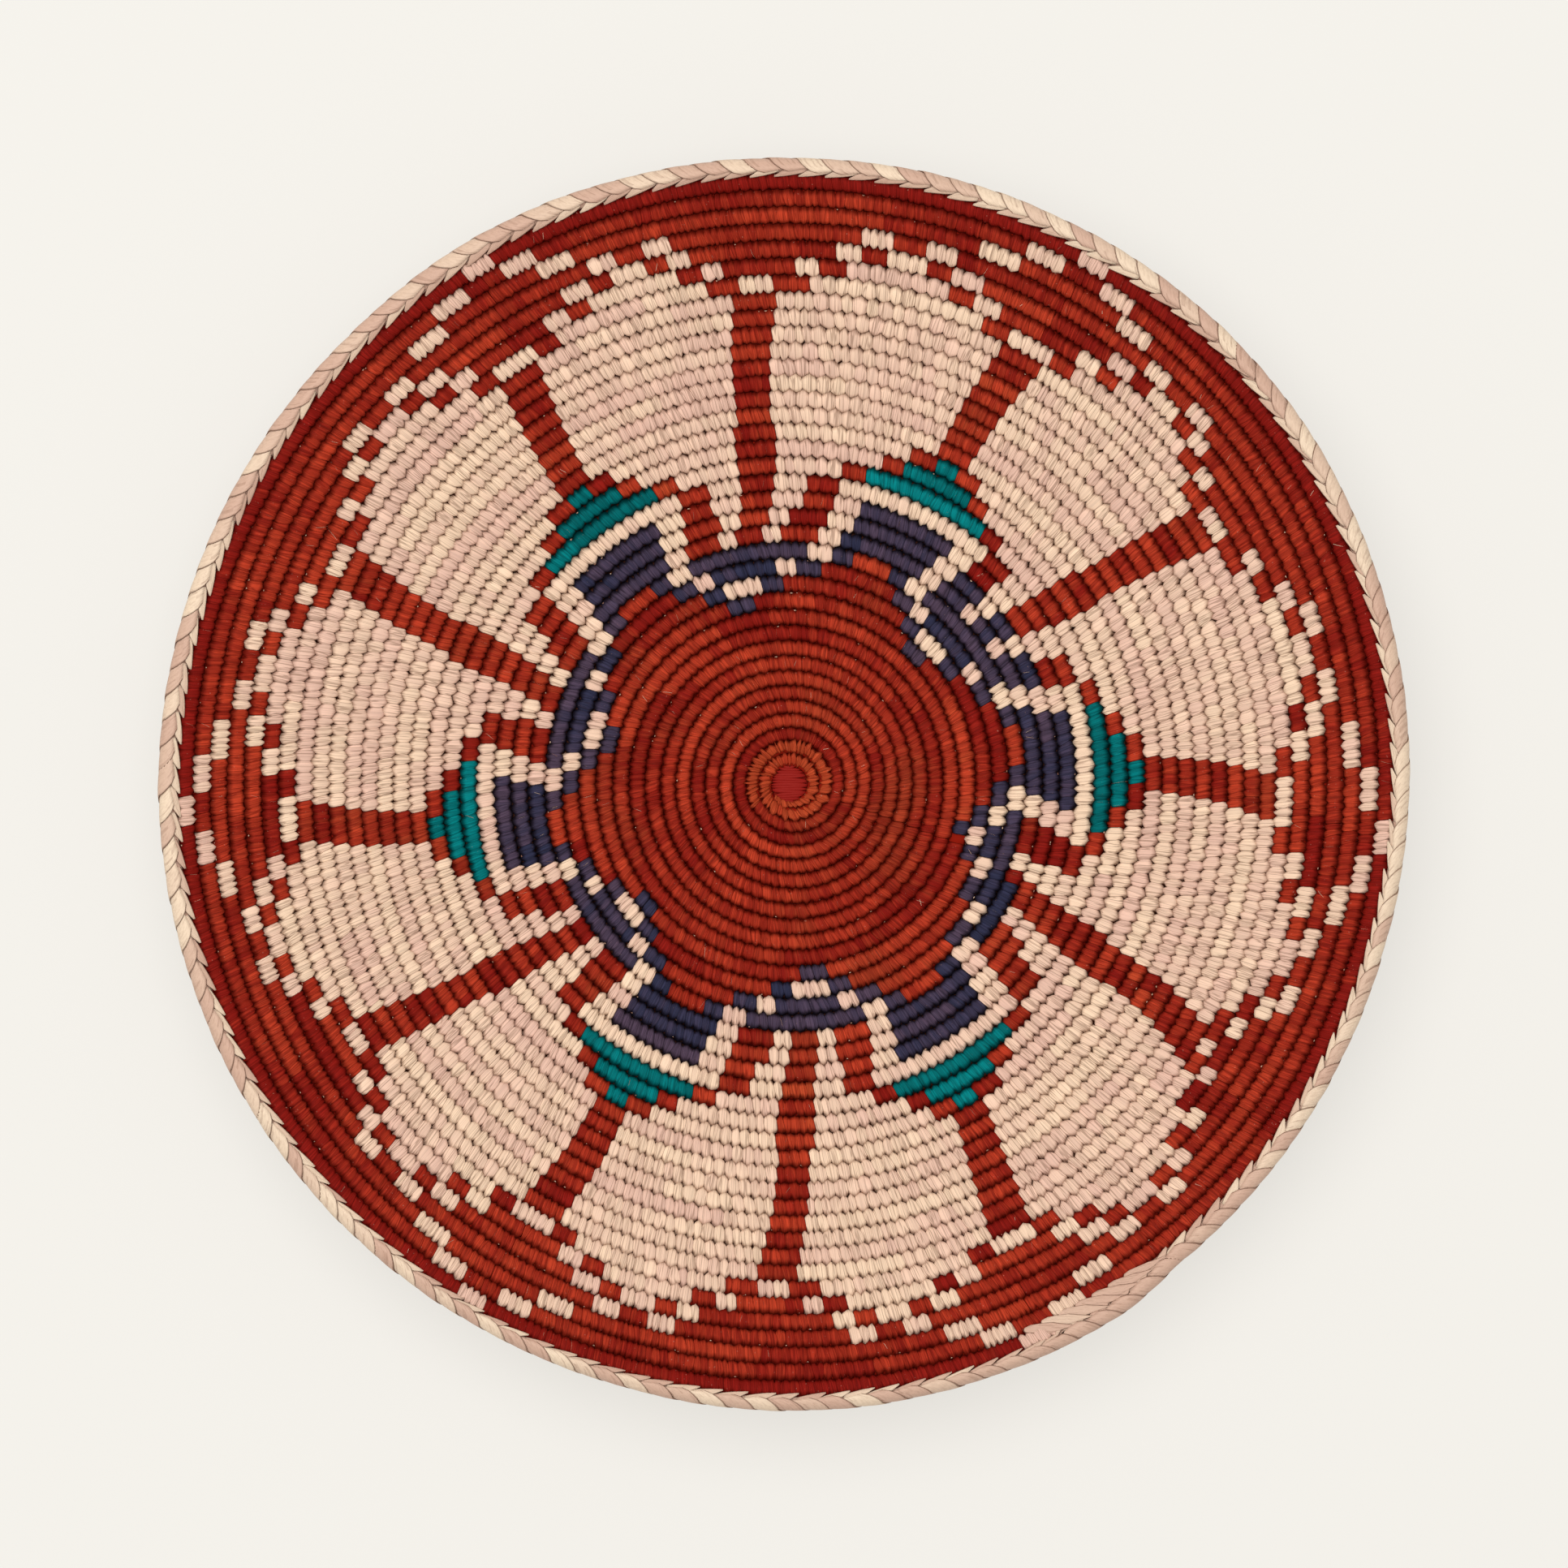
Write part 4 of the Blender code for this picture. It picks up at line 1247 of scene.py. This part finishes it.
class BASKET_OT_rim(bpy.types.Operator):
    """Sew the plait of undyed leaf over the rim"""

    bl_idname = "basket.rim"
    bl_label = "Plaited rim"

    seed = 11
    inner_lap = 0.0011
    inner_fall = 0.12
    height_share = 0.82
    place_jitter = (-0.07, 0.07)
    strip_pitch = 3

    core_rings = 240
    core_around = 10
    core_rise = -0.0006

    leaf_rings = 9
    leaf_around = 10
    leaf_strip = 2.5
    leaf_widths = (1.22, 1.36)
    leaf_slants = (0.9, 1.1)
    leaf_under = -1.3
    leaf_under_slant = 0.35
    leaf_over = 1.34
    leaf_over_jitter = (-0.12, 0.1)
    leaf_skews = (0.36, 0.52)
    leaf_thicknesses = (0.85, 1.2)
    leaf_lift = 0.55
    leaf_tilt = 0.45
    end_share = 0.88
    end_narrowing = 0.2
    end_drop = 0.3
    leaf_tones = (0, 1)

    sliver_rings = 7
    sliver_around = 8
    sliver_strip = 1.2
    sliver_lengths = (1.15, 1.3)
    sliver_tip = 1.02
    sliver_tip_jitter = (-0.02, 0.05)
    sliver_widths = (0.85, 1.1)
    sliver_point = 0.3
    sliver_growth = 2.2
    sliver_climb = 0.1
    sliver_bend = 0.28
    sliver_lift = 0.6
    sliver_thickness = 0.4
    sliver_tones = (0.2, 1)

    wedge_leaves = 7
    wedge_width = 0.0050
    wedge_slant = 0.0105
    wedge_back = 0.0035
    wedge_growth = 3.2
    wedge_point = 0.06
    wedge_under = 0.6
    wedge_reach = 1.02
    wedge_skew = 0.16
    wedge_lift = 0.4
    wedge_tilt = 0.35
    wedge_height = 0.8
    wedge_tones = (0, 0.8)

    def coil_edge(self, angle):
        """Radius of the coil's outer side, which jumps where the coil ends."""
        end = RUNS[-1].end
        gone = (float(clock_angle(np.float64(end))) - angle) / tau % 1
        return coil_radius(end - 1 + HALF_ROUND_SHARE + gone)

    def outline(self, angle):
        """Radius of the basket's outer edge, which is not quite round."""
        clock = np.degrees(angle) % 360
        return RIM_RADIUS + np.interp(clock, OUTLINE_CLOCKS, OUTLINE_STEPS, period=360)

    def over_edge(self, angle, turn, raised, is_core=False):
        """Points on the rim: from under it, at a negative turn, over the outer side to the inner edge."""
        width = bpy.context.scene.basket_rim.band_width
        outer = self.outline(angle) - drift(RIM_RADIUS, angle)
        inner = self.coil_edge(angle)
        if not is_core:
            inner = np.maximum(inner - self.inner_lap, outer - width)
        half = (outer - inner) / 2
        across = (half + raised * (turn < pi / 2)) * np.cos(turn)
        level = np.where(turn < pi / 2, np.sin(turn), 1 - self.inner_fall * np.sin(turn - pi / 2) ** 2)
        height = level * (BRAID_THICKNESS / 2 * self.height_share + raised)
        return wall_points(outer - half, angle, across, height)

    def leaf_tone(self, angle, tone):
        """Tone of a leaf at an angle, pinker on two opposite sides."""
        return tone - PINK_SIDE_TONE * max(float(np.cos(2 * (angle - PINK_SIDE))), 0)

    def along(self, turn):
        """How far a leaf has moved along the rim at a turn, as a share of its slant."""
        return np.where(turn > 0, (1 - np.cos(turn)) / 2, turn * self.leaf_under_slant)

    def leaf(self, mesh, number, count, chance):
        """One broad leaf of the plait, from under the rim slantwise over it to its inner side."""
        sizes = bpy.context.scene.basket_rim
        start = tau * (number + chance.uniform(*self.place_jitter)) / count
        width = tau / count * chance.uniform(*self.leaf_widths)
        slant = sizes.slant / RIM_RADIUS * chance.uniform(*self.leaf_slants)
        right_end = self.leaf_over + chance.uniform(*self.leaf_over_jitter)
        left_end = right_end + chance.uniform(*self.leaf_skews)
        high = sizes.leaf_thickness * chance.uniform(*self.leaf_thicknesses)

        def shape(ring, around):
            share = ring / self.leaf_rings
            flat = np.cos(tau * around)
            thick = np.sin(tau * around)
            end = right_end + (left_end - right_end) * (1 - flat) / 2
            turn = self.leaf_under + (end - self.leaf_under) * share
            past = np.clip((share - self.end_share) / (1 - self.end_share), 0, 1)
            narrow = 1 - past * self.end_narrowing
            angle = start + slant * self.along(turn) + flat * width / 2 * narrow
            level = self.leaf_lift - flat * self.leaf_tilt + thick / 2 - past * self.end_drop
            return self.over_edge(angle, turn, level * high + high / 2)

        tone = self.leaf_tone(start, chance.uniform(*self.leaf_tones))
        even_sleeve(mesh, self.leaf_rings, self.leaf_around, shape, number * self.strip_pitch,
                    self.leaf_strip, tone)

    def sliver(self, mesh, number, count, chance):
        """One narrow leaf along the inner side, from a point on the coil up under the next broad leaf."""
        sizes = bpy.context.scene.basket_rim
        start = tau * (number + 0.5 + chance.uniform(*self.place_jitter)) / count
        length = tau / count * chance.uniform(*self.sliver_lengths)
        tip = self.sliver_tip + chance.uniform(*self.sliver_tip_jitter)
        wide = sizes.sliver_width * chance.uniform(*self.sliver_widths) / sizes.band_width / 2
        high = sizes.leaf_thickness

        def shape(ring, around):
            share = ring / self.sliver_rings
            flat = np.cos(tau * around)
            thick = np.sin(tau * around)
            swell = np.clip(self.sliver_point + share * self.sliver_growth, 0, 1)
            middle = tip - self.sliver_climb * share - self.sliver_bend * share ** 2 - wide * swell
            turn = np.arccos(np.clip(1 - 2 * (middle + flat * wide * swell), -1, 1))
            raised = high * (self.sliver_lift - share) + thick * high * self.sliver_thickness * swell
            return self.over_edge(start + length * share, turn, raised)

        first = (number + 0.5) * self.strip_pitch
        tone = self.leaf_tone(start, chance.uniform(*self.sliver_tones))
        even_sleeve(mesh, self.sliver_rings, self.sliver_around, shape, first, self.sliver_strip, tone)

    def wedge_leaf(self, mesh, number, chance):
        """One leaf of those that fill the wedge between the plait and the last round but one."""
        sizes = bpy.context.scene.basket_rim
        share_along = (number + 0.5) / self.wedge_leaves
        start = WEDGE_START + (WEDGE_END - WEDGE_START) * share_along
        last = float(clock_angle(np.float64(RUNS[-1].end))) % tau - MERGE_DISTANCE

        def shape(ring, around):
            share = ring / self.leaf_rings
            flat = np.cos(tau * around)
            thick = np.sin(tau * around)
            swell = np.clip((1 - share) * self.wedge_growth, self.wedge_point, 1) ** 0.5
            angle = start + (self.wedge_slant * share - self.wedge_back) / RIM_RADIUS
            angle = angle + flat * self.wedge_width / RIM_RADIUS * swell
            low = self.coil_edge(np.minimum(angle, last)) - self.inner_lap
            top = self.outline(angle) - drift(RIM_RADIUS, angle) - sizes.band_width * self.wedge_under
            reach = top + (low - top) * (share * self.wedge_reach + (1 - share) * flat * self.wedge_skew)
            raised = (self.wedge_lift - flat * self.wedge_tilt + thick / 2 * swell) * sizes.leaf_thickness
            return wall_points(reach, angle, 0.0, BRAID_THICKNESS / 2 * self.wedge_height + raised)

        tone = self.leaf_tone(start, chance.uniform(*self.wedge_tones))
        even_sleeve(mesh, self.leaf_rings, self.leaf_around, shape, number * self.strip_pitch,
                    self.leaf_strip, tone)

    def core(self, ring, around):
        """Shape of the bundle under the plait."""
        turn = tau * around
        turn = np.where(turn > pi, turn - tau, turn)
        return self.over_edge(tau * ring / self.core_rings, turn, self.core_rise, is_core=True)

    def execute(self, context):
        count = context.scene.basket_rim.leaves
        chance = np.random.default_rng(self.seed)
        mesh = strip_mesh()
        for number in range(count):
            self.leaf(mesh, number, count, chance)
            self.sliver(mesh, number, count, chance)
        for number in range(self.wedge_leaves):
            self.wedge_leaf(mesh, number, chance)
        finish_piece("rim_plait", mesh, leaf_material("plait"), ["rim_braid"])
        under = strip_mesh()
        texture = np.arange(self.core_rings + 1)
        sleeve(under, self.core_rings, self.core_around, self.core, texture, texture * 0.0, closed=True)
        finish_piece("rim_bundle", under, leaf_material("plait"))
        return {"FINISHED"}


class BASKET_OT_fibres(bpy.types.Operator):
    """Scatter stray pale fibres and leaf ends over the dyed leaf"""

    bl_idname = "basket.fibres"
    bl_label = "Stray fibres"

    seed = 21
    rings = 6
    around = 5
    tip_share = 0.35
    last_bare_row = 2

    fibres = 260
    fibre_thickness = 0.00011
    fibre_length = 0.0016
    fibre_across = (-0.98, 0.98)
    fibre_rise = (0.32, 1.06)

    ends = 420
    end_thickness = 0.00021
    end_lengths = (0.0004, 0.001)
    end_sides = (0.8, 0.95)
    end_rise = (0.5, 0.6)
    end_tone_share = 0.6

    def strand(self, mesh, first, last, across, rise, thickness, number, tone):
        """A thin tube over the coil, from one place to another."""
        def shape(ring, around):
            share = ring / self.rings
            angle = tau * around
            out = first + (last - first) * share
            radius, half = coil_section(out)
            beside = (across[0] + (across[1] - across[0]) * share) * half
            arch = np.sin(pi * share)
            thin = thickness * (self.tip_share + (1 - self.tip_share) * arch)
            height = coil_height(half) * (rise[0] + (rise[1] - rise[0]) * arch) + thin * np.sin(angle)
            return wall_points(radius, clock_angle(out), beside + thin * np.cos(angle), height)

        even_sleeve(mesh, self.rings, self.around, shape, number, 1, tone)

    def execute(self, context):
        mesh = strip_mesh()
        chance = np.random.default_rng(self.seed)
        dyed = [run for run in RUNS
                if LEAF_OF_FIGURE[run.figure] != "cream" and run.row > self.last_bare_row]
        lengths = np.array([(run.end - run.start) * float(coil_radius(np.float64(run.start)))
                            for run in dyed])
        chosen = chance.choice(len(dyed), self.fibres + self.ends, p=lengths / lengths.sum())
        for number, index in enumerate(chosen):
            run = dyed[index]
            first = chance.uniform(run.start, run.end)
            turn = 1 / (tau * float(coil_radius(np.float64(first))))
            tone = chance.uniform(0, 1)
            if number < self.fibres:
                last = first + chance.normal(0, self.fibre_length) * turn
                self.strand(mesh, first, last, self.fibre_across, self.fibre_rise, self.fibre_thickness,
                            number, tone)
            else:
                last = first + chance.uniform(*self.end_lengths) * turn
                side = chance.uniform(*self.end_sides)
                self.strand(mesh, first, last, (side, side), self.end_rise, self.end_thickness,
                            number, tone * self.end_tone_share)
        finish_piece("stray_fibres", mesh, leaf_material("fibre"))
        return {"FINISHED"}


class BASKET_OT_stage(bpy.types.Operator):
    """Set the floor, the soft light and the camera over the basket"""

    bl_idname = "basket.stage"
    bl_label = "Stage"

    floor_reach = 3.0
    floor_roughness = 0.9
    sensor = 36.0
    lamp_size = 2.2
    lamp_place = (-0.4, 0.5, 2.4)
    pale_rays = ("Is Camera Ray", "Is Glossy Ray", "Is Transmission Ray")

    def lay_floor(self, stage):
        """A pale floor, which the camera sees lighter than its shade."""
        mesh = bmesh.new()
        bmesh.ops.create_grid(mesh, x_segments=1, y_segments=1, size=self.floor_reach)
        floor_piece = add_object("floor", mesh_data("floor", mesh))
        finish = Finish("floor_paint")
        paint = (*(part * stage.floor_share for part in stage.floor_colour), 1)
        finish.dress(paint, self.floor_roughness, 0.0)
        pale = finish.node("ShaderNodeEmission", None, {"Color": (*stage.floor_colour, 1), "Strength": 1.0})
        camera, glossy, through = [finish.node("ShaderNodeLightPath", output=ray) for ray in self.pale_rays]
        share = camera.maths("MAXIMUM", camera, glossy.maths("MAXIMUM", glossy, through))
        painted = Value(finish.tree, finish.shader.outputs["BSDF"])
        mixed = finish.node("ShaderNodeMixShader", None, {0: share * stage.floor_glow, 1: painted, 2: pale})
        connect(finish.tree, mixed, finish.tree.nodes["Material Output"].inputs["Surface"])
        floor_piece.data.materials.append(finish.material)

    def light_room(self, scene, stage):
        """Plain light from all round, and one large soft lamp."""
        world = bpy.data.worlds.new("soft_room")
        world.use_nodes = True
        background = world.node_tree.nodes["Background"]
        background.inputs["Color"].default_value = (1, 1, 1, 1)
        background.inputs["Strength"].default_value = stage.world_strength
        scene.world = world
        light = bpy.data.lights.new("large_lamp", "AREA")
        light.shape = "DISK"
        light.size = self.lamp_size
        light.energy = stage.lamp_power
        lamp = add_object("large_lamp", light)
        lamp.location = self.lamp_place
        lamp.rotation_euler = (-Vector(self.lamp_place)).to_track_quat("-Z", "Y").to_euler()
        lamp.visible_camera = False

    def set_camera(self, scene, stage):
        """A camera straight over the basket."""
        lens = bpy.data.cameras.new("camera")
        lens.sensor_width = self.sensor
        lens.lens = self.sensor * stage.camera_height / stage.frame_width
        scene.camera = add_object("camera", lens)
        rim_level = float(wall(RIM_RADIUS)[0])
        scene.camera.location = (stage.camera_right, stage.camera_up, rim_level + stage.camera_height)

    def execute(self, context):
        scene = context.scene
        self.lay_floor(scene.basket_stage)
        self.light_room(scene, scene.basket_stage)
        self.set_camera(scene, scene.basket_stage)
        scene.view_settings.view_transform = "Standard"
        return {"FINISHED"}


class BASKET_PT_panel(bpy.types.Panel):
    """The basket's pieces and their settings"""

    bl_idname = "BASKET_PT_panel"
    bl_label = "Coiled basket"
    bl_space_type = "VIEW_3D"
    bl_region_type = "UI"
    bl_category = "Basket"

    def draw(self, context):
        for operator in OPERATORS:
            self.layout.operator(operator.bl_idname)
        for group in GROUPS:
            settings = getattr(context.scene, group)
            box = self.layout.box()
            box.label(text=GROUPS[group].__doc__)
            for name in settings.bl_rna.properties.keys():
                if name not in ("rna_type", "name"):
                    box.prop(settings, name)


GROUPS = {
    "basket_coil": CoilSettings,
    "basket_rim": RimSettings,
    "basket_colours": LeafColours,
    "basket_stage": StageSettings,
}
OPERATORS = (BASKET_OT_stage, BASKET_OT_foundation, BASKET_OT_knot, BASKET_OT_red, BASKET_OT_navy,
             BASKET_OT_teal, BASKET_OT_cream, BASKET_OT_border, BASKET_OT_rim, BASKET_OT_fibres)


def register():
    """Register the settings, the operators and the panel."""
    for name, group in GROUPS.items():
        bpy.utils.register_class(group)
        setattr(bpy.types.Scene, name, PointerProperty(type=group))
    for kind in OPERATORS + (BASKET_PT_panel,):
        bpy.utils.register_class(kind)


def unregister():
    """Take the settings, the operators and the panel away again."""
    for kind in (BASKET_PT_panel,) + OPERATORS[::-1]:
        bpy.utils.unregister_class(kind)
    for name, group in GROUPS.items():
        delattr(bpy.types.Scene, name)
        bpy.utils.unregister_class(group)


def main():
    """Make the whole basket and its stage."""
    register()
    for operator in OPERATORS:
        group, name = operator.bl_idname.split(".")
        getattr(getattr(bpy.ops, group), name)()


if __name__ == "__main__":
    main()
